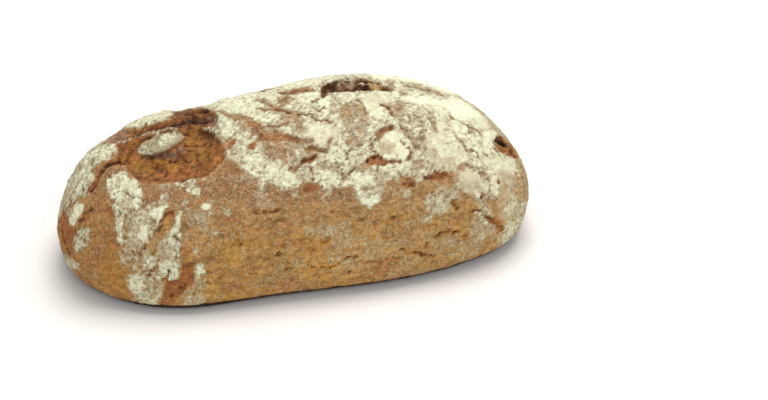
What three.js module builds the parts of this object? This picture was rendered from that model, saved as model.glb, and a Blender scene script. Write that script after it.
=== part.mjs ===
// Rye bread loaf: one whole, uncut hearth loaf with a torn, domed crust.
// Millimetres, +Z up.  X runs along the loaf, Y across it.
// The origin lies under the middle of the loaf, on its flat bottom crust.
//
// The loaf is one closed body.  Its skin is a long rounded form (a super-ellipsoid
// whose underside is cut flat) that carries gentle unevenness, a burst crater with a
// left-over island of crust near one end, a torn pit on the crown, a second burst at
// the other end, and the main splits of the crust.
import * as THREE from 'three';

// ---------------------------------------------------------------- driving dimensions
const HALF_LENGTH = 160.56;   // half of the loaf's length before the unevenness
const HALF_WIDTH = 79.85;     // half of its width at the belly
const HEIGHT = 105.78;        // crown above the flat bottom
const BELLY_HEIGHT = 30.26;   // height of the widest line above the bottom
const UNDER_REACH = 68.26;    // how far the lower half would reach below the belly if it were not flat
const UNDER_LIFT = 0.10;      // the +X end is tucked under by this share more than the -X end
const PLAN_POWER = 2.975;     // squareness of the outline seen from above
const PLAN_POWER_SKEW = -0.083; // the +X end is rounder than the -X end by this share
const SIDE_POWER = 2.023;     // squareness of the outline seen from the side
const TAPER = -0.052;         // widening towards +X
const CROWN_TILT = -0.011;    // the crown rises a little towards +X
const CROWN_BOW = 0.001;
const PLAN_BEND = -2.23;      // sideways bow of the long axis
const END_BALANCE = 1.018;    // -X end longer than +X end by this share
const CROWN_SHIFT = 4.56;     // the crown leans towards +Y
const BOTTOM_RADIUS = 12.0;   // rounding of the edge round the flat bottom
const FOOT_SPREAD = 5.9;      // the loaf stands wider on its bottom by this much
const FOOT_LEFT = 2.8;        // and by this much more round the -X shoulder
const FOOT_RIGHT = 1.0;       // along the +X half
const FOOT_RIGHT_END = 0.5;   // and at the +X end
const FOOT_CORNER = 2.1;      // and by this much less at the -X -Y corner
const FOOT_HEIGHT = 26;       // height at which the spread has faded out

const WAVE_HEIGHT = 0.9;      // height of the broad unevenness of the crust
const WAVE_FADE = 14;         // it fades out over this height above the bottom

const CRATER_DEPTH = 6.5;     // floor of the burst below the old skin
const CRATER_BACK_DEPTH = 4.5;  // further drop under its back rim
const ISLAND_RISE = 6.5;      // island of old crust above the crater floor
const CROWN_PIT_DEPTH = 6.0;  // torn pit on the crown
const END_PIT_DEPTH = 6.5;    // burst at the +X end

const GRID_LONG = 76;         // quads along the loaf over the dome
const GRID_CROSS = 52;        // quads across it

// Swellings and hollows of the skin: direction from the middle, tightness, height in mm.
const SWELLS = [
  [-0.951, 0.255, 0.172, 24, -2.52], [-1.0, 0.026, 0.0, 24, 1.04],
  [-0.939, -0.278, -0.2, 24, -0.71], [-0.759, -0.562, -0.329, 24, -2.54],
  [-0.28, -0.889, -0.362, 24, -3.17], [0.008, -0.928, -0.373, 24, -0.28],
  [0.286, -0.88, -0.379, 24, -0.22], [0.585, -0.736, -0.34, 24, -3.24],
  [0.793, -0.576, -0.2, 24, -0.4], [0.913, -0.406, 0.044, 24, -0.22],
  [0.936, 0.148, 0.319, 24, -1.75], [0.767, 0.391, 0.509, 24, -2.25],
  [0.521, 0.478, 0.707, 24, -0.33], [0.273, 0.492, 0.827, 24, 0.96],
  [-0.301, 0.51, 0.806, 24, -6.42], [-0.566, 0.501, 0.655, 24, -0.72],
  [-0.796, 0.423, 0.432, 24, 0.44],
];

// Splits and furrows of the crust: path over the loaf, width, depth.
const FURROWS = [
  // round the back of the crater and down the -X shoulder
  { path: [[-71, 30, 93], [-80, 13, 95], [-94, 12, 91], [-108, 5, 87], [-116, -6, 83], [-128, -6, 77], [-140, -15, 68]], width: 5.0, depth: 3.6 },
  // open split at the -X end
  { path: [[-161, -9, 43], [-161, -25, 35], [-155, -38, 32]], width: 5.0, depth: 3.2 },
  // bare gap between the flour fields beside the crater
  { path: [[-48, 4, 101], [-36, -13, 102], [-28, -27, 99], [-19, -41, 92]], width: 6.0, depth: 1.8 },
  // curved split and the lip below it on the crown's front slope
  { path: [[41, -44, 90], [44, -41, 92], [51, -31, 96], [59, -31, 96]], width: 4.5, depth: 1.8 },
  { path: [[34, -52, 85], [42, -51, 85], [50, -54, 83], [59, -54, 82]], width: 4.5, depth: 2.2 },
  // long split before the crown pit
  { path: [[-12, -8, 104], [-3, -12, 104], [6, -16, 103], [18, -25, 100]], width: 4.5, depth: 1.8 },
  // reddish furrow up the front of the -X end
  { path: [[-107, -60, 2], [-92, -71, 24], [-83, -73, 36], [-89, -69, 47]], width: 5.5, depth: 1.8 },
  // back slope, two long furrows of the same kind
  { path: [[-52, 62, 78], [-20, 66, 76], [8, 62, 82], [30, 60, 82]], width: 5.5, depth: 2.2 },
  { path: [[70, 58, 74], [95, 50, 72], [118, 38, 66]], width: 5.0, depth: 2.0 },
];

// ---------------------------------------------------------------- small helpers
const clamp = (x, a, b) => Math.min(b, Math.max(a, x));
const ramp = (a, b, x) => { const t = clamp((x - a) / (b - a), 0, 1); return t * t * (3 - 2 * t); };
const mix = (a, b, t) => a + (b - a) * t;

// ---------------------------------------------------------------- the smooth loaf
// A direction on the unit sphere gives one point of the smooth skin.
function smoothSkin(dir) {
  const len = Math.hypot(dir[0], dir[1], dir[2]);
  const u = [dir[0] / len, dir[1] / len, dir[2] / len];
  const upper = HEIGHT - BELLY_HEIGHT;
  let d = [u[0] * HALF_LENGTH, u[1] * HALF_WIDTH, u[2] * upper];
  const dl = Math.hypot(...d);
  d = d.map((v) => v / dl);
  const ax = HALF_LENGTH * (d[0] < 0 ? END_BALANCE : 2 - END_BALANCE);
  const n = PLAN_POWER * (1 - PLAN_POWER_SKEW * d[0]);
  const c = d[2] > 0 ? upper : UNDER_REACH * (1 - UNDER_LIFT * d[0]);
  const plan = Math.pow(Math.abs(d[0] / ax), n) + Math.pow(Math.abs(d[1] / HALF_WIDTH), n);
  let r = Math.pow(Math.pow(plan, SIDE_POWER / n) + Math.pow(Math.abs(d[2] / c), SIDE_POWER), -1 / SIDE_POWER);
  for (const [sx, sy, sz, tight, h] of SWELLS) {
    r += h * Math.exp(tight * (u[0] * sx + u[1] * sy + u[2] * sz - 1));
  }
  let [x, y, z] = d.map((v) => v * r);
  const t = x / HALF_LENGTH;
  y *= 1 - TAPER * t;
  if (z > 0) z *= 1 - CROWN_TILT * t - CROWN_BOW * t * t;
  y += PLAN_BEND * (t * t - 0.3) + CROWN_SHIFT * clamp(z / upper, 0, 1);
  z += BELLY_HEIGHT;
  const foot = (FOOT_SPREAD + FOOT_LEFT * Math.exp(-(((x + 95) / 32) ** 2)) + FOOT_RIGHT * ramp(10, 75, x)
    + FOOT_RIGHT_END * ramp(100, 145, x)
    - FOOT_CORNER * Math.exp(-(((y + 26) / 22) ** 2)) * (1 - ramp(-130, -90, x))) * (1 - ramp(0, FOOT_HEIGHT, z));
  const ox = x / HALF_LENGTH ** 2, oy = y / HALF_WIDTH ** 2, ol = Math.max(Math.hypot(ox, oy), 1e-4);
  x += foot * ox / ol;
  y += foot * oy / ol;
  const low = clamp(z, 0, BOTTOM_RADIUS);
  const inset = BOTTOM_RADIUS - Math.sqrt(Math.max(BOTTOM_RADIUS ** 2 - (BOTTOM_RADIUS - low) ** 2, 0));
  const k = 1 - inset / Math.max(Math.hypot(x, y), 30);
  return [x * k, y * k, z];
}

const fromAngles = (polar, around) => [
  Math.sin(polar) * Math.cos(around), Math.sin(polar) * Math.sin(around), Math.cos(polar)];

// The polar angle at which the skin meets the flat bottom, for one heading.
function bottomAngle(around) {
  let a = 0.9, b = Math.PI - 0.05;
  for (let i = 0; i < 48; i++) {
    const m = (a + b) / 2;
    if (smoothSkin(fromAngles(m, around))[2] > 0) a = m; else b = m;
  }
  return a;
}

// One rib of the dome, from the crown to the bottom edge, even in length along the skin.
const RIB_STEPS = 260;
function rib(around) {
  const end = bottomAngle(around);
  const pts = [], run = [0];
  for (let i = 0; i <= RIB_STEPS; i++) {
    const q = i / RIB_STEPS;
    pts.push(smoothSkin(fromAngles(end * (1 - (1 - q) * (1 - q)), around)));
    if (i) run.push(run[i - 1] + Math.hypot(...pts[i].map((v, k) => v - pts[i - 1][k])));
  }
  return { pts, run };
}
function alongRib({ pts, run }, share) {
  const want = share * run[RIB_STEPS];
  let i = 1;
  while (i < RIB_STEPS && run[i] < want) i++;
  const f = clamp((want - run[i - 1]) / (run[i] - run[i - 1] || 1), 0, 1);
  return pts[i].map((v, k) => mix(pts[i - 1][k], v, f));
}

// ---------------------------------------------------------------- what the crust carries
// Height of the skin over the smooth form at a point of it, in mm, along the skin's normal.
function ellipse(p, cx, cy, rx, ry, turnDeg) {
  const a = turnDeg * Math.PI / 180, x = p[0] - cx, y = p[1] - cy;
  return Math.hypot((x * Math.cos(a) + y * Math.sin(a)) / rx, (-x * Math.sin(a) + y * Math.cos(a)) / ry);
}
function distanceToPath(p, path) {
  let best = Infinity;
  for (let i = 1; i < path.length; i++) {
    const a = path[i - 1], b = path[i];
    const ab = b.map((v, k) => v - a[k]), ap = p.map((v, k) => v - a[k]);
    const t = clamp((ab[0] * ap[0] + ab[1] * ap[1] + ab[2] * ap[2]) / (ab[0] ** 2 + ab[1] ** 2 + ab[2] ** 2), 0, 1);
    best = Math.min(best, Math.hypot(...ap.map((v, k) => v - t * ab[k])));
  }
  return best;
}
function waves(p) {
  const [x, y, z] = p;
  return WAVE_HEIGHT * (
    0.55 * Math.sin(x / 23 + 1.3) * Math.cos(y / 19 - 0.6)
    + 0.40 * Math.sin(x / 13.5 - y / 21 + 0.4) * Math.cos(z / 16 + 0.9)
    + 0.35 * Math.cos(x / 17 + z / 12 + 2.1) * Math.sin(y / 14 + 0.2));
}
function relief(p) {
  let h = waves(p);
  const top = ramp(45, 70, p[2]);
  // the burst crater: a broad lens and a deeper pocket under its back rim
  const lens = ellipse(p, -86, -16, 34, 29, -12);
  const pocket = ellipse(p, -66, 7, 13, 24, 24);
  h -= top * CRATER_DEPTH * (1 - ramp(0.55, 1.05, lens));
  h -= top * CRATER_BACK_DEPTH * (1 - ramp(0.5, 1.05, pocket));
  // the island of old crust in it
  h += top * ISLAND_RISE * (1 - ramp(0.45, 1.15, ellipse(p, -90.5, -9, 17, 11, -4)));
  // the torn pit on the crown
  h -= top * CROWN_PIT_DEPTH * (1 - ramp(0.45, 1.05, ellipse(p, 42, 15.5, 27, 11.5, 8)));
  // the burst at the +X end, on the slope: measured in space round its middle
  const e = Math.hypot((p[0] - 138.5) / 15, (p[1] + 27.5) / 11.5, (p[2] - 65) / 15);
  h -= END_PIT_DEPTH * (1 - ramp(0.35, 1.05, e));
  for (const f of FURROWS) h -= f.depth * (1 - ramp(0.15, 1.0, distanceToPath(p, f.path) / f.width));
  return h * ramp(0, WAVE_FADE, p[2]);
}

// ---------------------------------------------------------------- mesh
// Even steps from -1 to 1 that lie closer together round one place.
function steps(count, at, spread, gain) {
  const fine = 800, sum = [0];
  for (let i = 1; i <= fine; i++) {
    const x = -1 + 2 * (i - 0.5) / fine;
    sum.push(sum[i - 1] + 1 + gain * Math.exp(-(((x - at) / spread) ** 2)));
  }
  const out = [];
  let k = 0;
  for (let i = 0; i <= count; i++) {
    const want = sum[fine] * i / count;
    while (k < fine && sum[k + 1] < want) k++;
    const f = k < fine ? clamp((want - sum[k]) / (sum[k + 1] - sum[k]), 0, 1) : 0;
    out.push(clamp(-1 + 2 * (k + f) / fine, -1, 1));
  }
  return out;
}

function loafGeometry() {
  const S = steps(GRID_LONG, -0.45, 0.28, 0.7);
  const T = steps(GRID_CROSS, -0.05, 0.40, 0.35);
  const verts = [], tris = [];
  const id = (i, j) => i * (GRID_CROSS + 1) + j;
  const smooth = [];
  for (let i = 0; i <= GRID_LONG; i++) {
    for (let j = 0; j <= GRID_CROSS; j++) {
      // square sheet laid smoothly on a disc, the disc laid over the dome
      const s = S[i], t = T[j], q = Math.hypot(s, t);
      const k = q > 1e-9 ? Math.sqrt(s * s + t * t - s * s * t * t) / q : 0;
      const around = Math.atan2(t * k, s * k);
      const edge = i === 0 || j === 0 || i === GRID_LONG || j === GRID_CROSS;
      const p = alongRib(rib(around), edge ? 1 : Math.min(q * k, 1));
      if (edge) p[2] = 0;
      smooth.push(p);
    }
  }
  // normals of the smooth form from the neighbours on the sheet
  const at = (i, j) => smooth[id(clamp(i, 0, GRID_LONG), clamp(j, 0, GRID_CROSS))];
  for (let i = 0; i <= GRID_LONG; i++) {
    for (let j = 0; j <= GRID_CROSS; j++) {
      const p = at(i, j);
      const a = new THREE.Vector3(...at(i + 1, j)).sub(new THREE.Vector3(...at(i - 1, j)));
      const b = new THREE.Vector3(...at(i, j + 1)).sub(new THREE.Vector3(...at(i, j - 1)));
      const n = a.cross(b).normalize();
      const h = p[2] <= 0 ? 0 : relief(p);
      verts.push([p[0] + n.x * h, p[1] + n.y * h, p[2] <= 0 ? 0 : Math.max(p[2] + n.z * h, 0.2)]);
    }
  }
  for (let i = 0; i < GRID_LONG; i++) {
    for (let j = 0; j < GRID_CROSS; j++) {
      const a = id(i, j), b = id(i + 1, j), c = id(i + 1, j + 1), d = id(i, j + 1);
      // cut each quad across its shorter diagonal
      const len = (m, n) => Math.hypot(...verts[m].map((v, k) => v - verts[n][k]));
      if (len(a, c) <= len(b, d)) tris.push([a, b, c], [a, c, d]);
      else tris.push([a, b, d], [b, c, d]);
    }
  }
  // flat bottom: rings that shrink and halve their count towards the middle
  let ring = [];
  for (let i = 0; i < GRID_LONG; i++) ring.push(id(i, 0));
  for (let j = 0; j < GRID_CROSS; j++) ring.push(id(GRID_LONG, j));
  for (let i = GRID_LONG; i > 0; i--) ring.push(id(i, GRID_CROSS));
  for (let j = GRID_CROSS; j > 0; j--) ring.push(id(0, j));
  const rim = ring.map((k) => verts[k]);
  const mx = rim.reduce((s, v) => s + v[0], 0) / rim.length;
  const my = rim.reduce((s, v) => s + v[1], 0) / rim.length;
  let skip = 1;
  for (const shrink of [0.93, 0.80, 0.58, 0.30]) {
    skip *= 2;
    const inner = [];
    for (let k = 0; k < rim.length; k += skip) {
      verts.push([mix(mx, rim[k][0], shrink), mix(my, rim[k][1], shrink), 0]);
      inner.push(verts.length - 1);
    }
    const n = inner.length;
    for (let k = 0; k < n; k++) {
      const o0 = ring[2 * k], o1 = ring[2 * k + 1], o2 = ring[(2 * k + 2) % ring.length];
      const i0 = inner[k], i1 = inner[(k + 1) % n];
      tris.push([o1, o0, i0], [o1, i0, i1], [o2, o1, i1]);
    }
    ring = inner;
  }
  verts.push([mx, my, 0]);
  const hub = verts.length - 1;
  for (let k = 0; k < ring.length; k++) tris.push([ring[(k + 1) % ring.length], ring[k], hub]);

  // put the origin under the middle of the box
  const lo = [Infinity, Infinity], hi = [-Infinity, -Infinity];
  for (const v of verts) for (const k of [0, 1]) { lo[k] = Math.min(lo[k], v[k]); hi[k] = Math.max(hi[k], v[k]); }
  const centre = [(lo[0] + hi[0]) / 2, (lo[1] + hi[1]) / 2];
  const position = new Float32Array(verts.length * 3);
  verts.forEach((v, k) => {
    position[3 * k] = v[0] - centre[0];
    position[3 * k + 1] = v[1] - centre[1];
    position[3 * k + 2] = v[2];
  });
  const geometry = new THREE.BufferGeometry();
  geometry.setAttribute('position', new THREE.BufferAttribute(position, 3));
  geometry.setIndex(tris.flat());
  geometry.computeVertexNormals();
  geometry.userData.centre = centre;
  return geometry;
}

// ---------------------------------------------------------------- the part
const crust = new THREE.MeshStandardMaterial({ name: 'crust', color: new THREE.Color(0.36, 0.20, 0.10), roughness: 0.82, metalness: 0.0 });

const group = new THREE.Group();
const loaf = new THREE.Mesh(loafGeometry(), crust);
loaf.name = 'loaf';
group.add(loaf);

export default group;
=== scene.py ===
import math
import bpy
import numpy as np
from mathutils import Matrix, Vector


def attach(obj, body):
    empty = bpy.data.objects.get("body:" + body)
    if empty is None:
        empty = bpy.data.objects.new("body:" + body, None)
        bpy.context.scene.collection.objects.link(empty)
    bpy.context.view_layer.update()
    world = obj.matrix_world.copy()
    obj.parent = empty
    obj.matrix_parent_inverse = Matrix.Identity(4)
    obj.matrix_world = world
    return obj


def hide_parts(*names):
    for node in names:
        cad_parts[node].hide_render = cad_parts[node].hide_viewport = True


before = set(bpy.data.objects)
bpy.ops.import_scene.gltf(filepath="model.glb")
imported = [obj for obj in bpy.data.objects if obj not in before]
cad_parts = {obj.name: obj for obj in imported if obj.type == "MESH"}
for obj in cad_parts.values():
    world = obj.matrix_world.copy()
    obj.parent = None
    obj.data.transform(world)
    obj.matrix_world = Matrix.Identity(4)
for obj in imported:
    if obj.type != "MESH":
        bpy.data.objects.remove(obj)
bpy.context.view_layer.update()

# =====================================================================================
# The rye loaf's crust, built around the CAD solid "loaf".  Lengths in mm until the mesh
# is made.  "Loaf coordinates" are the CAD's, before its box is centred: CENTRE is the
# offset between the two.
# =====================================================================================
CENTRE = np.array([-2.7628, 0.7387, 0.0])
HALF_LENGTH, HALF_WIDTH, HEIGHT, BELLY = 160.56, 79.85, 105.78, 30.26
UNDER_REACH, UNDER_LIFT = 68.26, 0.10
PLAN_POWER, PLAN_SKEW, SIDE_POWER = 2.975, -0.083, 2.023
TAPER, CROWN_TILT, CROWN_BOW = -0.052, -0.011, 0.001
PLAN_BEND, END_BALANCE, CROWN_SHIFT, BOTTOM_RADIUS = -2.23, 1.018, 4.56, 12.0
FOOT_SPREAD, FOOT_LEFT, FOOT_RIGHT, FOOT_RIGHT_END, FOOT_CORNER, FOOT_HEIGHT = 5.9, 2.8, 1.0, 0.5, 2.1, 26
SWELLS = np.array([
    [-0.951, 0.255, 0.172, 24, -2.52], [-1.0, 0.026, 0.0, 24, 1.04],
    [-0.939, -0.278, -0.2, 24, -0.71], [-0.759, -0.562, -0.329, 24, -2.54],
    [-0.28, -0.889, -0.362, 24, -3.17], [0.008, -0.928, -0.373, 24, -0.28],
    [0.286, -0.88, -0.379, 24, -0.22], [0.585, -0.736, -0.34, 24, -3.24],
    [0.793, -0.576, -0.2, 24, -0.4], [0.913, -0.406, 0.044, 24, -0.22],
    [0.936, 0.148, 0.319, 24, -1.75], [0.767, 0.391, 0.509, 24, -2.25],
    [0.521, 0.478, 0.707, 24, -0.33], [0.273, 0.492, 0.827, 24, 0.96],
    [-0.301, 0.51, 0.806, 24, -6.42], [-0.566, 0.501, 0.655, 24, -0.72],
    [-0.796, 0.423, 0.432, 24, 0.44]])

# ------------------------------------------------------------------ the view of the photo
ELEV = math.radians(33.0)
YAW = math.radians(14.83)
FOCAL_PX = 1581.0
CAM_DIST = 1136.0
LOAF_AT = np.array([-58.46, -42.74, 0.0])
YAW_M = np.array([[math.cos(YAW), -math.sin(YAW), 0], [math.sin(YAW), math.cos(YAW), 0], [0, 0, 1.0]])
VIEW_R = np.array([[1, 0, 0], [0, math.sin(ELEV), math.cos(ELEV)], [0, math.cos(ELEV), -math.sin(ELEV)]])
CAM_W = np.array([0, -CAM_DIST * math.cos(ELEV), CAM_DIST * math.sin(ELEV)])
CAM_L = (CAM_W - LOAF_AT) @ YAW_M          # the camera in loaf coordinates


def to_px(p):
    q = (p @ YAW_M.T + LOAF_AT - CAM_W) @ VIEW_R.T
    return np.stack([384 + FOCAL_PX * q[:, 0] / q[:, 2], 200 - FOCAL_PX * q[:, 1] / q[:, 2]], -1)


# ------------------------------------------------------------------ noise
_rng = np.random.RandomState(20)
_PERM = np.tile(_rng.permutation(256), 3)
_GRAD = _rng.normal(size=(256, 3)); _GRAD /= np.linalg.norm(_GRAD, axis=1, keepdims=True)
_JIT = _rng.rand(256, 3)


def _hash(i, seed):
    i = (i + np.array([seed * 17, seed * 31, seed * 7])) & 255
    return _PERM[_PERM[_PERM[i[..., 0]] + i[..., 1]] + i[..., 2]]


def perlin(p, seed=0):
    """Gradient noise at points p, about -1 to 1."""
    i = np.floor(p).astype(np.int64); f = p - i
    u = f * f * f * (f * (f * 6 - 15) + 10)
    out = np.zeros(len(p))
    for dx in (0, 1):
        wx = u[:, 0] if dx else 1 - u[:, 0]
        for dy in (0, 1):
            wy = u[:, 1] if dy else 1 - u[:, 1]
            for dz in (0, 1):
                wz = u[:, 2] if dz else 1 - u[:, 2]
                o = np.array([dx, dy, dz])
                out += wx * wy * wz * np.einsum("ij,ij->i", _GRAD[_hash(i + o, seed)], f - o)
    return out * 1.6


def fbm(p, scale, octaves=3, gain=0.5, seed=0):
    """Fractal noise whose largest features are about scale mm across."""
    out, amp, q = np.zeros(len(p)), 1.0, p / scale
    for k in range(octaves):
        out += amp * perlin(q, seed + k)
        amp *= gain; q = q * 2.03 + 5.17
    return out


def worley(p, scale, seed=0):
    """Distance to the nearest and to the second nearest of scattered points, and the cell's number."""
    q = p / scale
    i = np.floor(q).astype(np.int64); f = q - i
    d1 = np.full(len(p), 9.0); d2 = np.full(len(p), 9.0); cid = np.zeros(len(p), np.int64)
    for dx in (-1, 0, 1):
        for dy in (-1, 0, 1):
            for dz in (-1, 0, 1):
                o = np.array([dx, dy, dz]); h = _hash(i + o, seed)
                d = np.linalg.norm(o + _JIT[h] - f, axis=1)
                near = d < d1
                d2 = np.where(near, d1, np.minimum(d2, d)); cid = np.where(near, h, cid); d1 = np.where(near, d, d1)
    return d1, d2, cid


def ramp(a, b, x):
    t = np.clip((x - a) / (b - a), 0, 1)
    return t * t * (3 - 2 * t)


# ------------------------------------------------------------------ the smooth loaf
def smooth_skin(u):
    u = u / np.linalg.norm(u, axis=1, keepdims=True)
    upper = HEIGHT - BELLY
    d = u * np.array([HALF_LENGTH, HALF_WIDTH, upper]); d /= np.linalg.norm(d, axis=1, keepdims=True)
    ax = HALF_LENGTH * np.where(d[:, 0] < 0, END_BALANCE, 2 - END_BALANCE)
    n = PLAN_POWER * (1 - PLAN_SKEW * d[:, 0])
    c = np.where(d[:, 2] > 0, upper, UNDER_REACH * (1 - UNDER_LIFT * d[:, 0]))
    r = ((np.abs(d[:, 0] / ax) ** n + np.abs(d[:, 1] / HALF_WIDTH) ** n) ** (SIDE_POWER / n)
         + np.abs(d[:, 2] / c) ** SIDE_POWER) ** (-1 / SIDE_POWER)
    r = r + np.exp(SWELLS[:, 3][None] * (u @ SWELLS[:, :3].T - 1)) @ SWELLS[:, 4]
    p = d * r[:, None]
    t = p[:, 0] / HALF_LENGTH
    p[:, 1] *= 1 - TAPER * t
    p[:, 2] = np.where(p[:, 2] > 0, p[:, 2] * (1 - CROWN_TILT * t - CROWN_BOW * t * t), p[:, 2])
    p[:, 1] += PLAN_BEND * (t * t - 0.3) + CROWN_SHIFT * np.clip(p[:, 2] / upper, 0, 1)
    p[:, 2] += BELLY
    foot = (FOOT_SPREAD + FOOT_LEFT * np.exp(-((p[:, 0] + 95) / 32) ** 2) + FOOT_RIGHT * ramp(10, 75, p[:, 0])
            + FOOT_RIGHT_END * ramp(100, 145, p[:, 0])
            - FOOT_CORNER * np.exp(-((p[:, 1] + 26) / 22) ** 2) * (1 - ramp(-130, -90, p[:, 0]))) * (1 - ramp(0, FOOT_HEIGHT, p[:, 2]))
    out = p[:, :2] / np.array([HALF_LENGTH ** 2, HALF_WIDTH ** 2])
    p[:, :2] += foot[:, None] * out / np.maximum(np.linalg.norm(out, axis=1, keepdims=True), 1e-4)
    low = np.clip(p[:, 2], 0, BOTTOM_RADIUS)
    inset = BOTTOM_RADIUS - np.sqrt(np.maximum(BOTTOM_RADIUS ** 2 - (BOTTOM_RADIUS - low) ** 2, 0))
    p[:, :2] *= (1 - inset / np.maximum(np.hypot(p[:, 0], p[:, 1]), 30))[:, None]
    return p


def heading(polar, around):
    return np.stack([np.sin(polar) * np.cos(around), np.sin(polar) * np.sin(around), np.cos(polar)], -1)


def spaced(count, at, spread, gain):
    """Steps from -1 to 1 that lie closer together round one place."""
    x = np.linspace(-1, 1, 4001)
    s = np.concatenate([[0], np.cumsum(1 + gain * np.exp(-((((x[1:] + x[:-1]) / 2) - at) / spread) ** 2))])
    return np.interp(np.linspace(0, s[-1], count + 1), s, x)


NX, NY = (368, 248)
RIBS, STEPS = 720, 300


def dome():
    """Grid points of the smooth dome (NX+1 by NY+1) and their share of the way down each rib."""
    az = np.linspace(-np.pi, np.pi, RIBS + 1)
    lo, hi = np.full(RIBS + 1, 0.9), np.full(RIBS + 1, np.pi - 0.05)
    for _ in range(46):
        mid = (lo + hi) / 2
        up = smooth_skin(heading(mid, az))[:, 2] > 0
        lo, hi = np.where(up, mid, lo), np.where(up, hi, mid)
    end = (lo + hi) / 2
    q = np.linspace(0, 1, STEPS + 1)
    pol = end[:, None] * (1 - (1 - q[None]) ** 2)
    pts = smooth_skin(heading(pol, np.repeat(az[:, None], STEPS + 1, 1)).reshape(-1, 3)).reshape(RIBS + 1, STEPS + 1, 3)
    run = np.concatenate([np.zeros((RIBS + 1, 1)), np.cumsum(np.linalg.norm(np.diff(pts, axis=1), axis=2), 1)], 1)
    share = run / run[:, -1:]
    even = np.linspace(0, 1, 1001)
    table = np.stack([np.interp(even, share[k], pol[k]) for k in range(RIBS + 1)])      # polar angle by heading and share
    S = spaced(NX, -0.40, 0.35, 0.25); T = spaced(NY, -0.25, 0.55, 0.35)
    s, t = np.meshgrid(S, T, indexing="ij")
    rad = np.sqrt(np.maximum(s * s + t * t - s * s * t * t, 0))
    edge = np.zeros(s.shape, bool); edge[0] = edge[-1] = True; edge[:, 0] = edge[:, -1] = True
    rad = np.where(edge, 1.0, np.clip(rad, 0, 1))
    around = np.arctan2(t, s)
    fa = (around + np.pi) / (2 * np.pi) * RIBS; ia = np.clip(np.floor(fa).astype(int), 0, RIBS - 1); ga = fa - ia
    fs = rad * 1000; js = np.clip(np.floor(fs).astype(int), 0, 999); gs = fs - js
    polar = ((table[ia, js] * (1 - gs) + table[ia, js + 1] * gs) * (1 - ga)
             + (table[ia + 1, js] * (1 - gs) + table[ia + 1, js + 1] * gs) * ga)
    p = smooth_skin(heading(polar, around).reshape(-1, 3)).reshape(s.shape + (3,))
    p[edge, 2] = 0
    return p, rad, edge


BASE, SHARE, EDGE = dome()
_du, _dv = np.gradient(BASE, axis=0), np.gradient(BASE, axis=1)
NORMAL = np.cross(_du, _dv); NORMAL /= np.linalg.norm(NORMAL, axis=-1, keepdims=True) + 1e-12
GRID = BASE.shape[:2]
P0 = BASE.reshape(-1, 3).copy(); N0 = NORMAL.reshape(-1, 3).copy()
PX0 = to_px(P0)
FACING = np.einsum("ij,ij->i", CAM_L - P0, N0) / np.linalg.norm(CAM_L - P0, axis=1)
print("dome", GRID, "box", P0.min(0).round(1), P0.max(0).round(1))


def waves(p):
    x, y, z = p[:, 0], p[:, 1], p[:, 2]
    return 0.9 * (0.55 * np.sin(x / 23 + 1.3) * np.cos(y / 19 - 0.6)
                  + 0.40 * np.sin(x / 13.5 - y / 21 + 0.4) * np.cos(z / 16 + 0.9)
                  + 0.35 * np.cos(x / 17 + z / 12 + 2.1) * np.sin(y / 14 + 0.2))


def ellipse(p, cx, cy, rx, ry, deg):
    a = math.radians(deg); dx, dy = p[:, 0] - cx, p[:, 1] - cy
    return np.hypot((dx * math.cos(a) + dy * math.sin(a)) / rx, (-dx * math.sin(a) + dy * math.cos(a)) / ry)


def to_path(p, path, reach=30.0):
    """Distance of points from a chain of straight pieces; far points get reach."""
    path = np.asarray(path, float)
    out = np.full(len(p), reach)
    near = np.flatnonzero(((p > path.min(0) - reach) & (p < path.max(0) + reach)).all(1))
    q = p[near]; best = np.full(len(near), reach)
    if len(path) == 1:
        best = np.minimum(best, np.linalg.norm(q - path[0], axis=1))
    for a, b in zip(path[:-1], path[1:]):
        ab = b - a
        t = np.clip((q - a) @ ab / max(ab @ ab, 1e-9), 0, 1)
        best = np.minimum(best, np.linalg.norm(q - a - t[:, None] * ab, axis=1))
    out[near] = best
    return out


def normals(p):
    g = p.reshape(GRID + (3,))
    n = np.cross(np.gradient(g, axis=0), np.gradient(g, axis=1))
    return (n / (np.linalg.norm(n, axis=-1, keepdims=True) + 1e-12)).reshape(-1, 3)


def soften(v, times):
    g = v.reshape(GRID)
    for _ in range(times):
        e = np.pad(g, 1, mode="edge")
        g = (e[:-2, 1:-1] + e[2:, 1:-1] + e[1:-1, :-2] + e[1:-1, 2:] + 2 * g) / 6
    return g.reshape(-1)


# ------------------------------------------------------------------ large relief, as the CAD has it
CRATER_DEPTH, CRATER_BACK_DEPTH, ISLAND_RISE, CROWN_PIT_DEPTH, END_PIT_DEPTH = 6.5, 4.5, 6.5, 6.0, 6.5
BACK_FURROWS = [([(-52, 62, 78), (-20, 66, 76), (8, 62, 82), (30, 60, 82)], 5.5, 2.2),
                ([(70, 58, 74), (95, 50, 72), (118, 38, 66)], 5.0, 2.0)]
LOW = ramp(0, 14, P0[:, 2])
top = ramp(45, 70, P0[:, 2])
big = waves(P0)
big -= top * CRATER_DEPTH * (1 - ramp(0.55, 1.05, ellipse(P0, -86, -16, 34, 29, -12)))
big -= top * CRATER_BACK_DEPTH * (1 - ramp(0.5, 1.05, ellipse(P0, -66, 7, 13, 24, 24)))
big += top * ISLAND_RISE * (1 - ramp(0.45, 1.15, ellipse(P0, -90.5, -9, 17, 11, -4)))
big -= top * CROWN_PIT_DEPTH * (1 - ramp(0.45, 1.05, ellipse(P0, 42, 15.5, 27, 11.5, 8)))
big -= END_PIT_DEPTH * (1 - ramp(0.35, 1.05, np.sqrt((((P0 - [138.5, -27.5, 65]) / [15, 11.5, 15]) ** 2).sum(1))))
PB = P0 + N0 * (big * LOW)[:, None]
NB = normals(PB)
PX = to_px(PB)
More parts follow.
